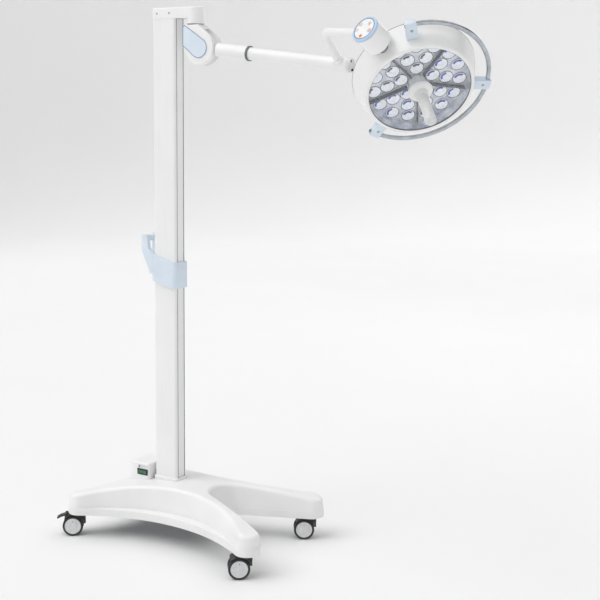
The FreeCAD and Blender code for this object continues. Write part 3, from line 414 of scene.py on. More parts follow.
def grained(name, colour, shade, grain, depth, rough, spread, patch=90, stretch=(1, 1, 1),
            dust=0.0, **shader_settings):
    """A solid finish: grain of a real size, slow changes of tone, and dust near the floor.

    grain and patch are in millimetres; depth is the grain's depth in millimetres.
    """
    colour, shade = as_colour(colour), as_colour(shade)
    material, tree, shader, coords = start_material(name)
    spot = add_node(tree, "ShaderNodeMapping", {"Scale": stretch}, {"Vector": (coords, "Object")})
    fine = add_node(tree, "ShaderNodeTexNoise", {"Scale": 1 / (grain * MM), "Detail": 3.0},
                    {"Vector": (spot, "Vector")})
    slow = add_node(tree, "ShaderNodeTexNoise", {"Scale": 1 / (patch * MM), "Detail": 2.0},
                    {"Vector": (coords, "Object")})
    tone = add_node(tree, "ShaderNodeMapRange", {"From Min": 0.35, "From Max": 0.65},
                    {"Value": (slow, "Fac")})
    tint = add_node(tree, "ShaderNodeMix",
                    {"data_type": "RGBA", 6: rgba(colour), 7: rgba(shade)},
                    {0: (tone, "Result")})
    last = (tint, 2)
    if dust:
        height = add_node(tree, "ShaderNodeSeparateXYZ", None, {"Vector": (coords, "Object")})
        low = add_node(tree, "ShaderNodeMapRange",
                       {"From Min": DUST_FROM, "From Max": DUST_TO, "To Min": dust,
                        "To Max": 0.0},
                       {"Value": (height, "Z")})
        speck = add_node(tree, "ShaderNodeMath", {"operation": "MULTIPLY"},
                         {0: (low, "Result"), 1: (slow, "Fac")})
        dusty = add_node(tree, "ShaderNodeMix",
                         {"data_type": "RGBA", 7: rgba(linear(DUST_COLOUR))},
                         {0: (speck, "Value"), 6: last})
        last = (dusty, 2)
    tree.links.new(last[0].outputs[last[1]], shader.inputs["Base Color"])
    gloss = add_node(tree, "ShaderNodeMapRange",
                     {"From Min": 0.3, "From Max": 0.7, "To Min": rough - spread,
                      "To Max": rough + spread}, {"Value": (fine, "Fac")})
    tree.links.new(gloss.outputs["Result"], shader.inputs["Roughness"])
    bump = add_node(tree, "ShaderNodeBump", {"Strength": 0.6, "Distance": depth * MM},
                    {"Height": (fine, "Fac")})
    tree.links.new(bump.outputs["Normal"], shader.inputs["Normal"])
    for key, value in shader_settings.items():
        shader.inputs[key.replace("_", " ").title().replace("Ior", "IOR")].default_value = value
    return material


def finish_settings():
    """The colours that the panel shows."""
    return bpy.context.scene.light_finish


def made(name, build):
    """The material of that name, built the first time it is asked for."""
    return bpy.data.materials.get(name) or build(name)


def moulded_abs(name="moulded ABS white"):
    """Spark-eroded ABS moulding: a satin skin with a 0.6 mm grain, drawn at 1.2 mm to show."""
    white = finish_settings().shell_white
    return grained(name, white, shaded(white, 0.955), 1.2, 0.05, 0.36, 0.05, patch=160,
                   dust=0.35, ior=1.53)


def dome_abs(name="polished ABS white"):
    """Polished ABS moulding of the dome: glossier than the base, with faint flow marks."""
    white = finish_settings().shell_white
    return grained(name, white, shaded(white, 0.965), 3.0, 0.02, 0.24, 0.04, patch=120, ior=1.53)


def powder_coat(name="powder coated aluminium"):
    """White powder coat: the orange peel of 2.5 mm that gives a soft broken highlight."""
    white = finish_settings().paint_white
    return grained(name, white, shaded(white, 0.96), 2.5, 0.06, 0.33, 0.05, patch=220,
                   coat_weight=0.25, coat_roughness=0.2, ior=1.5)


def extruded_aluminium(name="coated aluminium extrusion"):
    """Coated extrusion: the die's faint lines run the whole length of the column."""
    white = finish_settings().paint_white
    return grained(name, white, shaded(white, 0.965), 1.4, 0.03, 0.3, 0.04, patch=200,
                   stretch=(1, 1, 0.01), coat_weight=0.2, coat_roughness=0.18, ior=1.5)


def tinted_abs(name="moulded ABS pale blue"):
    """Dyed ABS: an even pale blue with a fine satin grain."""
    blue = finish_settings().pale_blue
    return grained(name, blue, shaded(blue, 0.94), 1.2, 0.05, 0.38, 0.05, patch=70, ior=1.53)


def trim_abs(name="moulded ABS trim blue"):
    """Dyed ABS of the keypad's ring, deeper in colour and glossier."""
    blue = finish_settings().trim_blue
    return grained(name, blue, shaded(blue, 0.93), 1.5, 0.02, 0.26, 0.04, patch=30, ior=1.53)


def outline_print(name="screen print grey blue"):
    """Screen-printed edging: a flat ink that lies a little rough on the moulding."""
    blue = finish_settings().outline_blue
    return grained(name, blue, shaded(blue, 0.85), 0.8, 0.02, 0.5, 0.06, patch=12, ior=1.5)


def chrome_plate(name="polished chrome plate"):
    """Polished chrome on steel tube: a mirror with a trace of buffing."""
    return grained(name, "#BEC2C8", "#A9AEB5", 0.9, 0.004, 0.06, 0.02,
                   patch=25, metallic=1.0)


def ground_steel(name="ground bright steel"):
    """Ground shaft steel: bright, with fine turning marks that blur its highlight."""
    return grained(name, "#B9BCC0", "#A4A7AB", 0.7, 0.02, 0.28, 0.06,
                   patch=20, metallic=1.0)


def zinc_steel(name="zinc passivated steel"):
    """Zinc plate on the base frame and small screws: dull silver with a patchy bloom."""
    return grained(name, "#9DA1A4", "#85888B", 1.0, 0.03, 0.42, 0.08,
                   patch=18, metallic=1.0, dust=0.3)


def dark_screw(name="black oxide steel"):
    """Blackened screw heads: nearly black, with an oily sheen."""
    return grained(name, "#3A3D41", "#2A2C2F", 0.6, 0.02, 0.38, 0.08,
                   patch=6, metallic=0.8)


def cast_iron(name="painted cast iron"):
    """Ballast castings: rough sand-cast skin under grey primer."""
    return grained(name, "#55585B", "#3F4244", 3.0, 0.5, 0.7, 0.08, patch=40)


def bronze(name="oiled sintered bronze"):
    """Sintered bush: brown gold, with open pores."""
    return grained(name, "#9B7442", "#7C5A32", 0.8, 0.08, 0.45, 0.08,
                   patch=15, metallic=1.0)


def black_steel(name="black painted steel"):
    """Enamelled strut body: even black gloss paint."""
    return grained(name, "#1D1E20", "#151618", 1.0, 0.02, 0.3, 0.05, patch=30)


def tyre_rubber(name="polyurethane tyre"):
    """Cast tread: near black, matt, greyer where it has rolled through dust."""
    black = finish_settings().tyre_black
    return grained(name, black, shaded(black, 1.8), 1.4, 0.12, 0.62, 0.1, patch=14, dust=0.12,
                   ior=1.5)


def black_nylon(name="glass filled nylon black"):
    """Caster hoods: black nylon with a coarse moulded grain and grey scuffs."""
    return grained(name, "#1B1C1E", "#2B2C2E", 0.9, 0.08, 0.45, 0.08,
                   patch=16, dust=0.18, ior=1.53)


def grey_nylon(name="moulded nylon grey"):
    """Wheel covers: pale grey nylon, satin, slightly soiled."""
    grey = finish_settings().hub_grey
    return grained(name, grey, shaded(grey, 0.9), 1.0, 0.05, 0.4, 0.07, patch=14, dust=0.12,
                   ior=1.53)


def silicone(name="silicone seal grey and painted shade"):
    """Seal rings and joint lines: dark grey silicone, soft and matt. The same grey in the column's
    grooves is painted shade.
    """
    return grained(name, "#7A7D82", "#66696E", 1.0, 0.04, 0.6, 0.06, patch=20,
                   ior=1.41)


def handle_resin(name="autoclavable resin white"):
    """Sterile handle: white resin that steam has left slightly matt and creamy."""
    return grained(name, "#EFF0EE", "#E2E3DF", 1.6, 0.04, 0.42, 0.06,
                   patch=35, ior=1.6, subsurface_weight=0.04)


def membrane(name="polyester membrane white"):
    """Keypad foil: embossed matt polyester with a 0.5 mm texture drawn at 0.9 mm."""
    return grained(name, "#F3F5F6", "#EAEDEF", 0.9, 0.03, 0.3, 0.05, patch=20)


def icon_ink(name="screen print orange"):
    """Orange ink of the key signs."""
    ink = finish_settings().icon_orange
    return grained(name, ink, shaded(ink, 0.8), 0.7, 0.02, 0.45, 0.05, patch=5)


def rocker_plastic(name="polycarbonate rocker green"):
    """Lit rocker of the mains switch, here unlit: deep green, glossy."""
    green = finish_settings().rocker_green
    return grained(name, green, shaded(green, 0.8), 2.0, 0.01, 0.18, 0.04, patch=9,
                   coat_weight=0.5, ior=1.58)


def socket_plastic(name="thermoset black"):
    """Inlet and switch frame: black thermoset with a dull moulded skin."""
    return grained(name, "#161718", "#202122", 0.9, 0.03, 0.42, 0.06, patch=12)


def aluminium_sink(name="clear anodised aluminium"):
    """Heat sink behind the board: milled and clear anodised."""
    return grained(name, "#B8BBBE", "#A8ABAF", 0.9, 0.03, 0.35, 0.06,
                   patch=30, metallic=1.0, stretch=(1, 1, 8))


def circuit_board(name="white solder mask"):
    """LED board: white mask with the slight ripple of the copper under it."""
    return grained(name, "#E9EBEA", "#D9DCDA", 4.0, 0.05, 0.3, 0.05, patch=9)


def phosphor(name="phosphor yellow"):
    """LED domes: yellow phosphor in clear silicone."""
    return grained(name, "#E8C64A", "#D8AE2E", 0.5, 0.02, 0.25, 0.04, patch=2)


def metallised(name="vacuum metallised reflector"):
    """Aluminium flashed on a moulding: a cool mirror with slow waves in it."""
    return grained(name, "#F2F4F7", "#C4CBDA", 7.0, 0.25, 0.2, 0.06,
                   patch=26, metallic=0.4)


def painted_blue_reflection(name="painted reflection blue"):
    """Painted reflection: a deep blue crescent inside a lens, standing in for the blue reflection on
    the lens.
    """
    return grained(name, "#4A62C8", "#2A3C96", 3.0, 0.02, 0.12, 0.04, patch=11,
                   metallic=0.5)


def painted_dark_reflection(name="painted reflection black"):
    """Painted reflection: a black crescent inside a lens, standing in for a dark reflection on the
    lens.
    """
    return grained(name, "#1B1C20", "#34373F", 2.0, 0.02, 0.3, 0.05, patch=9)


def smoked_rib_and_shade(name="smoked polycarbonate and painted shade"):
    """Ribs between the sectors: dark smoke grey, glossy. The same dark finish on the rings round the
    lenses is painted shade.
    """
    return grained(name, "#2B313B", "#1C2027", 2.0, 0.02, 0.2, 0.04, patch=20,
                   ior=1.58)


def brass_pin(name="lacquered brass"):
    """Small rivet on the wheel cover: yellow brass under lacquer."""
    return grained(name, "#B98A35", "#9C7128", 0.5, 0.01, 0.25, 0.05, patch=3,
                   metallic=1.0)


def clear(name, tint, shade, ior, rough, ripple, cover, glow=0.0):
    """A clear moulding: a gloss skin that covers a share of what lies behind it.

    ripple is in millimetres. glow is painted light: an emission that makes the moulding glow though it
    is no lamp.
    cover weakens the gloss too, so ior is set above the real one.
    """
    tint, shade = as_colour(tint), as_colour(shade)
    material, tree, shader, coords = start_material(name)
    wave = add_node(tree, "ShaderNodeTexNoise", {"Scale": 1 / (ripple * MM), "Detail": 1.0},
                    {"Vector": (coords, "Object")})
    tone = add_node(tree, "ShaderNodeMix",
                    {"data_type": "RGBA", 6: rgba(tint), 7: rgba(shade)}, {0: (wave, "Fac")})
    tree.links.new(tone.outputs[2], shader.inputs["Base Color"])
    gloss = add_node(tree, "ShaderNodeMapRange", {"To Min": rough, "To Max": rough + 0.04},
                     {"Value": (wave, "Fac")})
    tree.links.new(gloss.outputs["Result"], shader.inputs["Roughness"])
    bump = add_node(tree, "ShaderNodeBump", {"Strength": 0.15, "Distance": 0.03 * MM},
                    {"Height": (wave, "Fac")})
    tree.links.new(bump.outputs["Normal"], shader.inputs["Normal"])
    shader.inputs["IOR"].default_value = ior
    shader.inputs["Alpha"].default_value = cover
    # painted light: this emission lets a clear moulding glow though it is no lamp
    shader.inputs["Emission Color"].default_value = rgba(tint)
    shader.inputs["Emission Strength"].default_value = glow
    return material


def window_plate(name="clear polycarbonate"):
    """Hard-coated polycarbonate window: water clear, with a faint cool tint."""
    return clear(name, "#F7FAFD", "#EFF5FB", 1.9, 0.03, 40, 0.08)


def lens_acrylic(name="optical acrylic"):
    """Collimators of optical acrylic: clear gloss over their cups, with a faint cool glow that is
    painted light, as the lenses are no lamp.
    """
    # painted light: glow=0.24 makes the lenses give off light though they are no lamp
    return clear(name, "#FFFFFF", "#E8EEFC", 2.2, 0.03, 9, 0.5, glow=0.24)


def studio_floor(name="matt studio floor"):
    """Pale seamless floor: matt paint, nearly even."""
    return grained(name, "#F5F5F5", "#F4F4F4", 8.0, 0.05, 0.75, 0.05, patch=900)


def on_each_caster(start):
    """The names of the nodes that every caster has, from the start of their name."""
    return [start + name for name in caster_names]


CAD_FINISHES = {
    moulded_abs: ("base_shell", "rear_housing", "foot_trim"),
    dome_abs: ("dome_back", "dome_bezel", "pod_body", "handle_hub"),
    powder_coat: ("column_cap", "knuckle_housing", "arm_root", "arm_sleeve", "arm_tube",
                  "yoke_sleeve", "yoke_tube"),
    extruded_aluminium: ("column_profile", "column_strip"),
    tinted_abs: ("knuckle_plates", "ring_clamps", "push_handle"),
    trim_abs: ("pod_ring",),
    zinc_steel: ("base_frame",),
    cast_iron: ("ballast_plates",),
    black_steel: ("balance_strut", "power_supply"),
    ground_steel: ("swivel_spindle", "hinge_pin", "arm_spigot", "dome_pivot"),
    bronze: ("swivel_bush",),
    silicone: ("arm_ring",),
    grey_nylon: ("end_disc", *on_each_caster("hubs_")),
    membrane: ("pod_panel", "key_1", "key_2", "key_3", "key_4"),
    socket_plastic: ("inlet_socket", "switch_frame"),
    rocker_plastic: ("switch_rocker",),
    window_plate: ("window",),
    metallised: ("reflector_plate",),
    lens_acrylic: ("lens_set",),
    circuit_board: ("led_board",),
    aluminium_sink: ("led_carrier",),
    chrome_plate: ("grip_ring",),
    handle_resin: ("sterile_grip",),
    black_nylon: ("brake_pedal_rl", "brake_pedal_rr", *on_each_caster("caster_housing_")),
    tyre_rubber: on_each_caster("tyres_"),
}


def finish_of(build):
    """The material that a finish function makes, under the name that is its default."""
    return made(build.__defaults__[0], build)


# ---------------------------------------------------------------- operators
class LIGHT_OT_studio(bpy.types.Operator):
    """Make the floor, the lights and the camera"""
    bl_idname = "light.studio"
    bl_label = "Studio"

    BOXES = (("key", (-3.6, -4.2, 3.9), 2.6, 0.5),      # name, place, size, share of the power
             ("fill", (4.8, -3.4, 2.6), 2.8, 0.1),
             ("back", (-0.8, 4.6, 3.4), 2.4, 0.2))
    EVEN_STRENGTH = 1.1
    EVEN_SPREAD = 50                       # degrees across
    EVEN_TURN = (35, 0, -40)
    FLOOR_RADIUS = 9500.0
    CURVE_RADIUS = 1500.0
    WALL_TOP = 4000.0

    def execute(self, context):
        studio = context.scene.light_studio
        context.scene.view_settings.view_transform = "Standard"
        self.floor()
        self.lights(studio.key_power)
        self.sky(context.scene)
        camera = bpy.data.cameras.new("camera")
        camera.lens = studio.lens
        camera.shift_y = studio.shift
        viewer = bpy.data.objects.new("camera", camera)
        context.scene.collection.objects.link(viewer)
        viewer.matrix_world = (Matrix.Translation(studio.camera_place)
                               @ Matrix.Rotation(studio.camera_heading, 4, "Z")
                               @ Matrix.Rotation(math.pi / 2 - studio.camera_dip, 4, "X")
                               @ Matrix.Rotation(studio.camera_roll, 4, "Z"))
        context.scene.camera = viewer
        return {"FINISHED"}

    def floor(self):
        """A round floor whose rim curves up into a low wall."""
        bend = self.CURVE_RADIUS
        wall = [(self.FLOOR_RADIUS + bend * math.sin(a), bend - bend * math.cos(a))
                for a in [math.radians(15 * i) for i in range(7)]]
        rim = (self.FLOOR_RADIUS + bend, self.WALL_TOP)
        floor = turned("studio_floor", [(0, 0)] + wall + [rim], steps=64)
        edit(floor)
        select_all()
        bpy.ops.mesh.flip_normals()
        object_mode()
        floor.data.materials.append(finish_of(studio_floor))

    def lights(self, power):
        """An even broad light from above, and soft boxes on the left, on the right and behind."""
        sun = bpy.data.lights.new("even", "SUN")
        sun.energy = self.EVEN_STRENGTH
        sun.angle = math.radians(self.EVEN_SPREAD)
        even = bpy.data.objects.new("even", sun)
        even.rotation_euler = [math.radians(a) for a in self.EVEN_TURN]
        bpy.context.scene.collection.objects.link(even)
        aim = Vector((0, 0, 1.0))
        for name, spot, size, share in self.BOXES:
            data = bpy.data.lights.new(name, "AREA")
            data.shape = "SQUARE"
            data.size = size
            data.energy = power * share
            lamp = bpy.data.objects.new(name, data)
            lamp.location = spot
            lamp.rotation_euler = (aim - Vector(spot)).to_track_quat("-Z", "Y").to_euler()
            bpy.context.scene.collection.objects.link(lamp)

    def sky(self, scene):
        """White light all round with one dark band above the wall, which chrome and lenses mirror."""
        world = bpy.data.worlds.new("studio")
        world.use_nodes = True
        scene.world = world
        tree = world.node_tree
        coords = add_node(tree, "ShaderNodeTexCoord")
        height = add_node(tree, "ShaderNodeSeparateXYZ", None, {"Vector": (coords, "Generated")})
        above = add_node(tree, "ShaderNodeMath", {"operation": "SUBTRACT", 1: 0.48},
                         {0: (height, "Z")})
        band = add_node(tree, "ShaderNodeMath", {"operation": "ABSOLUTE"}, {0: (above, "Value")})
        glow = add_node(tree, "ShaderNodeMapRange",
                        {"From Min": 0.08, "From Max": 0.14, "To Min": 0.02, "To Max": 0.9},
                        {"Value": (band, "Value")})
        sky = tree.nodes["Background"]
        sky.inputs["Color"].default_value = rgba(linear("#FAFAFA"))
        tree.links.new(glow.outputs["Result"], sky.inputs["Strength"])


class LIGHT_OT_finish_frame(bpy.types.Operator):
    """Give every CAD node its material"""
    bl_idname = "light.finish_frame"
    bl_label = "Finish the frame"

    def execute(self, context):
        left = set(nodes)
        for build, names in CAD_FINISHES.items():
            for name in names:
                for slot in nodes[name].material_slots:
                    slot.material = finish_of(build)
                left.discard(name)
        if left:
            raise RuntimeError("no finish for " + ", ".join(sorted(left)))
        return {"FINISHED"}


class LIGHT_OT_optics(bpy.types.Operator):
    """Model the collimators with their cups, dark rings of painted shade, LEDs and crescents of
    painted reflection, and the ribs
    """
    bl_idname = "light.optics"
    bl_label = "Optics"

    SECTORS = 5
    FIRST_RIB = 2.0                        # degrees from the pod's direction
    RINGS = ((3, 139.0), (2, 95.0), (1, 54.0))    # lenses in a sector, radius
    RIB_ENDS = (33.5, 162.5)
    RIB_HALF = 1.6
    RIB_HEIGHT = 16.6
    RIB_LEVEL = -48.5
    GLANCE_RADII = (11.5, 18.6)
    GLANCE_LEVELS = (-46.0, -45.3)
    GLANCE_BORDER = 0.02                   # metres towards the pod where blue turns to black

    def places(self):
        for count, radius in self.RINGS:
            step = 360.0 / (self.SECTORS * count)
            for i in range(self.SECTORS * count):
                angle = math.radians(self.FIRST_RIB + (i + 0.5) * step)
                yield Matrix.Translation((radius * math.cos(angle) * MM,
                                          radius * math.sin(angle) * MM, 0)) \
                    @ Matrix.Rotation(angle, 4, "Z")

    def spread(self, name, first, slot, finish, replaced=()):
        spots = list(self.places())
        copies = [copy_of(first, "%s_part" % name, spot) for spot in spots[1:]]
        place(first, spots[0])
        whole = join(name, [first] + copies)
        fit_on_dome(whole, finish, replaced)

    def glances(self):
        """Painted reflections: crescents in the lenses, blue ones away from the pod, black ones
        towards it.
        """
        near, far = self.GLANCE_RADII
        low, high = self.GLANCE_LEVELS
        section = [(near, high), (far, high), (far, low), (near, low)]
        # painted reflections: blue and black crescents set inside the lenses
        kinds = {"blue_glances": (painted_blue_reflection, False, 115),
                 "black_glances": (painted_dark_reflection, True, 80)}
        for name, (finish, by_pod, sweep) in kinds.items():
            parts = []
            first = turned("crescent", section, 14, closed=True, sweep=sweep)
            for spot in self.places():
                centre = spot.translation
                if (centre.x > self.GLANCE_BORDER) == by_pod:
                    wobble = math.radians(-sweep / 2 + 25 * math.sin(centre.y * 60 + 9 * centre.x))
                    parts.append(copy_of(first, "part", Matrix.Translation(centre)
                                         @ Matrix.Rotation(wobble, 4, "Z")))
            bpy.data.objects.remove(first)
            whole = join(name, parts)
            edit(whole)
            bpy.ops.mesh.select_all(action="DESELECT")
            bpy.ops.mesh.select_mode(type="EDGE")
            bpy.ops.mesh.select_non_manifold()
            bpy.ops.mesh.fill_holes(sides=4)
            clean()
            object_mode()
            fit_on_dome(whole, finish)

    def execute(self, context):
        facets = context.scene.light_sizes.lens_facets
        lens = turned("collimator", [(0, -60), (4.5, -60), (5, -65.8), (9, -65.8), (20, -48.4),
                                     (21, -48.2), (21, -46.4), (17, -46.2), (10, -47.4),
                                     (8, -52), (0, -54)], steps=facets, flat=True)
        self.spread("collimators", lens, "lens_clear", lens_acrylic, ("lens_set",))
        cup = turned("cup", [(9.4, -66.6), (21.1, -48.7), (21.2, -46.6), (23.4, -46.2),
                             (23.4, -47.6), (21.9, -47.8), (10.2, -66.6)], steps=facets,
                     closed=True, flat=True)
        self.spread("reflector_cups", cup, "reflector_silver", metallised)
        chip = turned("chip", [(0, -67.3), (3.6, -67.3), (3.6, -66.4), (3.0, -65.9), (2.4, -64.8),
                               (1.3, -64.1), (0, -63.8)], steps=16)
        self.spread("led_domes", chip, "board_white", phosphor)
        # painted shade: a dark ring round each lens stands in for the shade of the groove round the
        # lens
        rim = turned("rim", [(21.3, -47.4), (23.0, -47.4), (23.0, -45.9), (22.4, -45.5),
                             (21.3, -45.9)], steps=32, closed=True)
        self.spread("lens_shade_rings", rim, "reflector_silver", smoked_rib_and_shade)
        self.glances()
        ribs = []
        start, end = self.RIB_ENDS
        half = self.RIB_HALF
        for i in range(self.SECTORS):
            corners = [(start, -half), (end, -half), (end, half), (start, half)]
            rib = extruded("rib", corners, self.RIB_HEIGHT)
            round_edges(rib, 0.6 * MM)
            turn = Matrix.Rotation(math.radians(self.FIRST_RIB + i * 360 / self.SECTORS), 4, "Z")
            place(rib, turn @ Matrix.Translation((0, 0, self.RIB_LEVEL * MM)))
            ribs.append(rib)
        ribs = join("sector_ribs", ribs)
        place(ribs, dome_frame)
        smooth(ribs)
        finish_piece(ribs, "dome", smoked_rib_and_shade)
        return {"FINISHED"}


class LIGHT_OT_dome_trim(bpy.types.Operator):
    """Model the dome's seals, its hub ring, and the plugs and the boss of its back cover"""
    bl_idname = "light.dome_trim"
    bl_label = "Dome trim"

    PLUGS = 6
    FIRST_PLUG = 32                        # degrees from the pod's direction
    PLUG_PLACE = (178.0, -107.6)           # radius and height on the back cover
    BACK_SLOPE = 24                        # degrees

    def execute(self, context):
        seam = context.scene.light_sizes.seam_width / MM
        joint_line = turned("dome_joint_line", [(199.2, -90.15 - seam / 2), (200.5, -90.15 - seam / 2),
                                                (200.7, -90.15), (200.5, -90.15 + seam / 2),
                                                (199.2, -90.15 + seam / 2)], 160, closed=True)
        fit_on_dome(joint_line, silicone)
        gasket = turned("window_gasket", [(163.4, -2.1), (164.9, -2.1), (164.9, -0.5),
                                          (164.2, -0.4), (163.4, -1.4)], 160, closed=True)
        fit_on_dome(gasket, silicone)
        hub_ring = turned("hub_ring", [(38.1, 0.4), (40.0, 0.4), (40.6, 1.2), (40.0, 2.6),
                                       (38.1, 3.2)], 96, closed=True)
        fit_on_dome(hub_ring, dome_abs)
        plugs = []
        radius, height = self.PLUG_PLACE
        for i in range(self.PLUGS):
            plug = turned("plug", [(0, 1.2), (2.4, 1.2), (2.6, 2.2), (5.6, 2.2), (6.4, 1.6),
                                   (6.6, -0.8), (0, -0.8)], 32)
            angle = math.radians(self.FIRST_PLUG + i * 360 / self.PLUGS)
            slope = Matrix.Rotation(math.radians(180 - self.BACK_SLOPE), 4, "Y")
            place(plug, Matrix.Rotation(angle, 4, "Z")
                  @ Matrix.Translation((radius * MM, 0, height * MM)) @ slope)
            plugs.append(plug)
        plugs = join("back_screw_plugs", plugs)
        fit_on_dome(plugs, grey_nylon)
        boss = turned("back_boss", [(0, -137.6), (26, -137.6), (27.4, -136.6), (27.8, -134),
                                    (34, -133.6), (36, -132.8), (36, -131), (0, -131)], 96)
        fit_on_dome(boss, dome_abs)
        return {"FINISHED"}


class LIGHT_OT_handles(bpy.types.Operator):
    """Model the sterile handle, the chrome ring handle and the ring's clamps"""
    bl_idname = "light.handles"
    bl_label = "Handles"

    RING_RADIUS = 232.0
    RING_LEVEL = -41.0
    RING_FROM = -257.0                     # degrees from the pod's direction
    RING_SWEEP = 233.0
    CLAMPS = (-29.0, -136.0, -252.0)
    SCREW_PLACE = (216.0, -33.0)           # radius and height of the clamps' screws

    def execute(self, context):
        self.sterile_handle()
        self.ring(context.scene.light_sizes.ring_tube / MM)
        self.clamps()
        return {"FINISHED"}

    def sterile_handle(self):
        grip = turned("sterile_handle", [(8.3, 20.2), (19, 20.2), (21.3, 21.4), (21.6, 23.6),
                                         (21.0, 25.6), (19.2, 27.0), (18.4, 30.0), (17.6, 45),
                                         (17.2, 75), (17.2, 105), (17.8, 122), (18.7, 129),
                                         (18.9, 132.2), (18.3, 133.4), (8.3, 133.4)],
                      64, closed=True)
        round_edges(grip, 0.5 * MM, 2, 40)
        place(grip, dome_frame)
        smooth(grip)
        finish_piece(grip, "grip", handle_resin, ("sterile_grip",))
        cap = turned("handle_end_cap", [(0, 133.6), (17.6, 133.6), (17.9, 134.4), (18.8, 135.2),
                                        (19.0, 138), (18.6, 143), (16.8, 147), (13.5, 149.2),
                                        (9, 150), (0, 150)], 64)
        place(cap, dome_frame)
        finish_piece(cap, "grip", grey_nylon)

    def ring(self, diameter):
        ring = new_piece("ring_handle", bpy.ops.mesh.primitive_circle_add, vertices=28,
                         radius=diameter / 2 * MM,
                         location=(self.RING_RADIUS * MM, 0, self.RING_LEVEL * MM),
                         rotation=(math.pi / 2, 0, 0))
        settle()
        edit(ring)
        select_all()
        bpy.ops.mesh.spin(steps=150, angle=-math.radians(self.RING_SWEEP), center=(0, 0, 0),
                          axis=(0, 0, 1))
        select_all()
        bpy.ops.mesh.remove_doubles(threshold=MERGE_WITHIN)
        bpy.ops.mesh.select_all(action="DESELECT")
        bpy.ops.mesh.select_mode(type="EDGE")
        bpy.ops.mesh.select_non_manifold()
        bpy.ops.mesh.edge_face_add()
        clean()
        object_mode()
        round_edges(ring, 2.4 * MM, 4, 60)
        place(ring, dome_frame @ Matrix.Rotation(math.radians(self.RING_FROM), 4, "Z"))
        smooth(ring)
        finish_piece(ring, "dome", chrome_plate, ("grip_ring",))

    def clamps(self):
        blocks = softened("clamp_blocks", 1.6 * MM, "ring_clamps")
        finish_piece(blocks, "dome", tinted_abs, ("ring_clamps",))
        screws = []
        radius, level = self.SCREW_PLACE
        for angle in self.CLAMPS:
            turn = Matrix.Rotation(math.radians(angle), 4, "Z")
            screw = socket_screw("screw", 4.3, 3.6)
            place(screw, turn @ Matrix.Translation((radius * MM, 0, level * MM)))
            screws.append(screw)
        screws = join("clamp_screws", screws)
        fit_on_dome(screws, dark_screw)


def socket_screw(name, radius, height):
    """A screw head with a round socket, standing on Z = 0."""
    screw = new_piece(name, bpy.ops.mesh.primitive_cylinder_add, vertices=36,
                      radius=radius * MM, depth=height * MM, location=(0, 0, height / 2 * MM))
    settle()
    edit(screw)
    pick_faces(screw, lambda f: f.normal.z > 0.9)
    bpy.ops.mesh.inset(thickness=radius * 0.42 * MM)
    bpy.ops.mesh.extrude_region_move(
        TRANSFORM_OT_translate={"value": (0, 0, -height * 0.55 * MM)})
    clean()
    object_mode()
    round_edges(screw, radius * 0.09 * MM, 2, 40)
    smooth(screw)
    return screw


class LIGHT_OT_keypad(bpy.types.Operator):
    """Model the keypad's outline, the signs on its keys and the indicator"""
    bl_idname = "light.keypad"
    bl_label = "Keypad"

    OUTLINE_RADII = (35.2, 37.9)
    INK = 0.35                             # height of the printed signs
    INDICATOR_PLACE = (18.0, -19.0)

    def execute(self, context):
        face = reach_along("pod_panel", pivot, pod_axis)[1] / MM
        inner, outer = self.OUTLINE_RADII
        low, high = face - 0.2, face + 0.4
        outline = turned("keypad_outline", [(inner, low), (outer, low), (outer, high),
                                            (inner, high)], 96, closed=True)
        place(outline, pod_frame)
        finish_piece(outline, "yoke", outline_print)
        dot = turned("indicator", [(0, -0.2), (5.6, -0.2), (5.6, 0.5), (4.2, 1.2), (0, 1.5)], 32)
        place(dot, pod_frame @ Matrix.Translation([MM * c for c in (*self.INDICATOR_PLACE, face)]))
        finish_piece(dot, "yoke", icon_ink)
        signs = {"key_1": self.power_sign, "key_2": self.minus_sign,
                 "key_3": self.plus_sign, "key_4": self.focus_sign}
        for key, sign in signs.items():
            low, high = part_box(key)
            middle = (low + high) / 2
            top = reach_along(key, pivot, pod_axis)[1]
            on_face = pod_frame.inverted() @ middle
            spot = pod_frame @ Matrix.Translation((on_face.x, on_face.y, top - 0.1 * MM))
            piece = sign()
            place(piece, spot)
            finish_piece(piece, key, icon_ink)
        return {"FINISHED"}

    def rim(self, name, radius, width=1.4):
        """A printed circle."""
        return turned(name, [(radius - width, 0), (radius, 0), (radius, self.INK),
                             (radius - width, self.INK)], 40, closed=True)

    def bar(self, name, length, width, turn=0.0):
        """A printed stroke."""
        x = length / 2
        y = width / 2
        piece = extruded(name, [(-x, -y), (x, -y), (x, y), (-x, y)], self.INK)
        place(piece, Matrix.Rotation(math.radians(turn), 4, "Z"))
        return piece

    def power_sign(self):
        circle = self.rim("circle", 5.6)
        stroke = self.bar("stroke", 5.0, 1.6)
        place(stroke, Matrix.Translation((-3.6 * MM, 0, 0.05 * MM)))
        return join("power_sign", [circle, stroke])

    def minus_sign(self):
        return join("minus_sign", [self.rim("circle", 6.3, 1.4), self.bar("stroke", 6.6, 1.7, 90)])

    def plus_sign(self):
        upright = self.bar("upright", 6.6, 1.7)
        place(upright, Matrix.Translation((0, 0, 0.05 * MM)))
        return join("plus_sign", [self.rim("circle", 6.3, 1.4), self.bar("stroke", 6.6, 1.7, 90),
                                  upright])

    def focus_sign(self):
        return join("focus_sign", [self.rim("circle", 6.3, 1.4), self.rim("spot", 3.0, 1.4)])


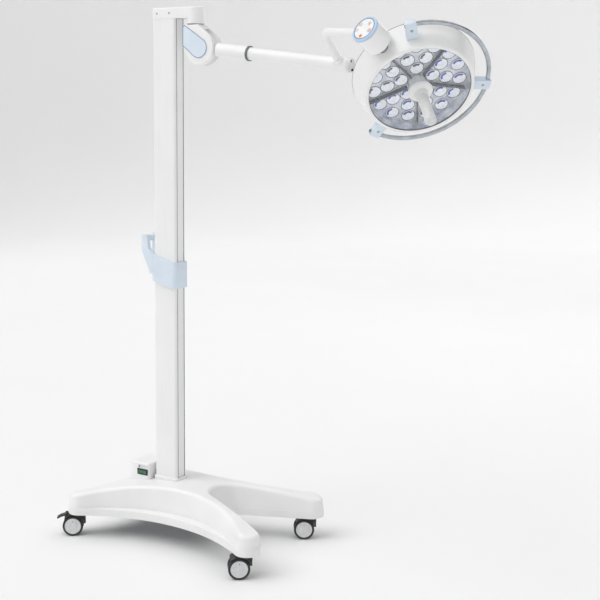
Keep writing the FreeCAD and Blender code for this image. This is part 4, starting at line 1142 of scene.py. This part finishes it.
class LIGHT_OT_arm_trim(bpy.types.Operator):
    """Model the edging of the knuckle plates and the screws of arm and cap"""
    bl_idname = "light.arm_trim"
    bl_label = "Arm trim"

    def execute(self, context):
        self.plate_edging()
        self.disc_screws()
        self.cap_screws()
        return {"FINISHED"}

    def plate_edging(self):
        """A raised line round the outer face of each knuckle plate."""
        piece = merged_copy("plate_edging", "knuckle_plates")
        low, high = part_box("knuckle_plates")
        pick_faces(piece, lambda f: abs(f.normal.y) < 0.9 or
                   min(abs(f.calc_center_median().y - low.y),
                       abs(f.calc_center_median().y - high.y)) > 0.5 * MM)
        bpy.ops.mesh.delete(type="FACE")
        select_all()
        bpy.ops.mesh.inset(thickness=2.0 * MM)
        bpy.ops.mesh.delete(type="FACE")
        object_mode()
        apply_modifier(piece, "SOLIDIFY", thickness=0.5 * MM, offset=1.0)
        finish_piece(piece, body_of("knuckle_plates"), outline_print)

    def disc_screws(self):
        end = reach_along("end_disc", pin_centre, arm_axis)[1]
        across = (Vector((0, 0, 0.9)) + Vector((0, -0.35, 0))).normalized()
        screws = []
        for sign in (-1, 1):
            screw = socket_screw("screw", 4.2, 3.6)
            spot = pin_centre + arm_axis * (end - 3 * MM) + across * (sign * 15 * MM)
            place(screw, frame_matrix(spot, (0, 1, 0), arm_axis))
            screws.append(screw)
        finish_piece(join("end_disc_screws", screws), body_of("end_disc"),
                     dark_screw)

    def cap_screws(self):
        low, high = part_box("column_cap")
        centre = (low + high) / 2
        screws = []
        for x in (low.x + 24 * MM, low.x + 78 * MM):
            for y, way in ((centre.y - 31.5 * MM, -1), (centre.y + 31.5 * MM, 1)):
                screw = turned("screw", [(0, -0.5), (3.6, -0.5), (3.6, 0.6), (2.6, 1.5),
                                         (1.4, 1.6), (1.4, 0.5), (0, 0.5)], 28)
                place(screw, frame_matrix((x, y, high.z - 20 * MM), (1, 0, 0), (0, way, 0)))
                screws.append(screw)
        finish_piece(join("cap_screws", screws), body_of("column_cap"),
                     ground_steel)


class LIGHT_OT_stand_trim(bpy.types.Operator):
    """Model the push handle's soft edges, the painted shade in the grooves beside the strip and the
    rear housing's niche
    """
    bl_idname = "light.stand_trim"
    bl_label = "Stand trim"

    def execute(self, context):
        handle = softened("push_grip", context.scene.light_sizes.soft_edge, "push_handle",
                          segments=4)
        finish_piece(handle, "stand", tinted_abs, ("push_handle",))
        self.groove_shade_strips()
        self.niche()
        return {"FINISHED"}

    def groove_shade_strips(self):
        """A dark grey strip of painted shade in each of the two grooves beside the column's strip."""
        low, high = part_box("column_strip")
        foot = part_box("foot_trim")[1].z
        seals = []
        for y in (low.y - 1.6 * MM, high.y + 1.6 * MM):
            # painted shade: each strip is a dark grey block set in a groove, where the groove's shade
            # falls
            seal = new_piece("seal", bpy.ops.mesh.primitive_cube_add, size=1,
                             location=(high.x - 0.2 * MM, y, (foot + high.z) / 2),
                             scale=(2.0 * MM, 3.2 * MM, high.z - foot))
            settle()
            round_edges(seal, 0.6 * MM, 2)
            seals.append(seal)
        seals = join("column_groove_shade", seals)
        smooth(seals)
        finish_piece(seals, "stand", silicone)

    def niche(self):
        """A shallow framed pocket above the switch, with a small dark lamp."""
        low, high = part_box("rear_housing")
        switch_low, switch_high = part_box("switch_frame")
        middle = (switch_low.x + switch_high.x) / 2
        base = switch_high.z + 3 * MM
        top = high.z - 9 * MM
        half = 22 * MM
        frame_piece = new_piece("housing_niche", bpy.ops.mesh.primitive_cube_add, size=1,
                                location=(middle, low.y - 0.4 * MM, (base + top) / 2),
                                scale=(2 * half, 1.8 * MM, top - base))
        settle()
        edit(frame_piece)
        pick_faces(frame_piece, lambda f: f.normal.y < -0.9)
        bpy.ops.mesh.inset(thickness=1.6 * MM)
        bpy.ops.mesh.extrude_region_move(TRANSFORM_OT_translate={"value": (0, 1.1 * MM, 0)})
        clean()
        object_mode()
        round_edges(frame_piece, 0.4 * MM, 2)
        smooth(frame_piece)
        finish_piece(frame_piece, "stand", grey_nylon)
        dot = turned("niche_lamp", [(0, 0), (2.4, 0), (2.4, 1.2), (1.6, 1.8), (0, 2.0)], 24)
        place(dot, frame_matrix((middle - half + 8 * MM, low.y, (base + top) / 2), (1, 0, 0),
                                (0, -1, 0)))
        finish_piece(dot, "stand", socket_plastic)


class LIGHT_OT_casters(bpy.types.Operator):
    """Model the wheel covers, the soft-edged pedals and the rivets"""
    bl_idname = "light.casters"
    bl_label = "Casters"

    def execute(self, context):
        for name in caster_names:
            axle = wheel_frame(name)
            covers = []
            rivets = []
            for way in (1, -1):
                cover = turned("cover", [(0, 25.2), (29.0, 25.2), (29.2, 26.0), (28.2, 26.9),
                                         (25.6, 26.9), (24.4, 26.1), (12, 25.8), (10.5, 26.2),
                                         (9.6, 27.2), (6.4, 27.4), (5.8, 26.6), (0, 26.6)], 48)
                side = axle if way > 0 else axle @ Matrix.Rotation(math.pi, 4, "X")
                place(cover, side)
                covers.append(cover)
                rivet = turned("rivet", [(0, 25.8), (1.8, 25.8), (1.8, 26.6), (1.2, 27.0),
                                         (0, 27.1)], 20)
                place(rivet, side @ Matrix.Translation((18 * MM, 0, 0)))
                rivets.append(rivet)
            finish_piece(join("wheel_covers_" + name, covers), "wheels_" + name,
                         grey_nylon)
            finish_piece(join("wheel_rivets_" + name, rivets), "wheels_" + name,
                         brass_pin)
        for name in ("rl", "rr"):
            pedal = softened("brake_lever_" + name, 0.9 * MM, "brake_pedal_" + name)
            finish_piece(pedal, "pedal_" + name, black_nylon,
                         ("brake_pedal_" + name,))
        return {"FINISHED"}


class LIGHT_PT_panel(bpy.types.Panel):
    bl_idname = "LIGHT_PT_panel"
    bl_label = "Surgical light"
    bl_space_type = "VIEW_3D"
    bl_region_type = "UI"
    bl_category = "Surgical light"

    def draw(self, context):
        for group in (context.scene.light_finish, context.scene.light_sizes,
                      context.scene.light_studio):
            for name in group.__annotations__:
                self.layout.prop(group, name)
        for step in STEPS:
            self.layout.operator(step.bl_idname)


STEPS = (LIGHT_OT_studio, LIGHT_OT_finish_frame, LIGHT_OT_optics, LIGHT_OT_dome_trim,
         LIGHT_OT_handles, LIGHT_OT_keypad, LIGHT_OT_arm_trim, LIGHT_OT_stand_trim,
         LIGHT_OT_casters)
GROUPS = {"light_finish": LightFinish, "light_sizes": LightSizes, "light_studio": LightStudio}


def register():
    for name, group in GROUPS.items():
        bpy.utils.register_class(group)
        setattr(bpy.types.Scene, name, PointerProperty(type=group))
    for step in STEPS:
        bpy.utils.register_class(step)
    bpy.utils.register_class(LIGHT_PT_panel)


def unregister():
    bpy.utils.unregister_class(LIGHT_PT_panel)
    for step in reversed(STEPS):
        bpy.utils.unregister_class(step)
    for name, group in GROUPS.items():
        delattr(bpy.types.Scene, name)
        bpy.utils.unregister_class(group)


def main():
    register()
    for step in STEPS:
        group, name = step.bl_idname.split(".")
        getattr(getattr(bpy.ops, group), name)()


if __name__ == "__main__":
    main()
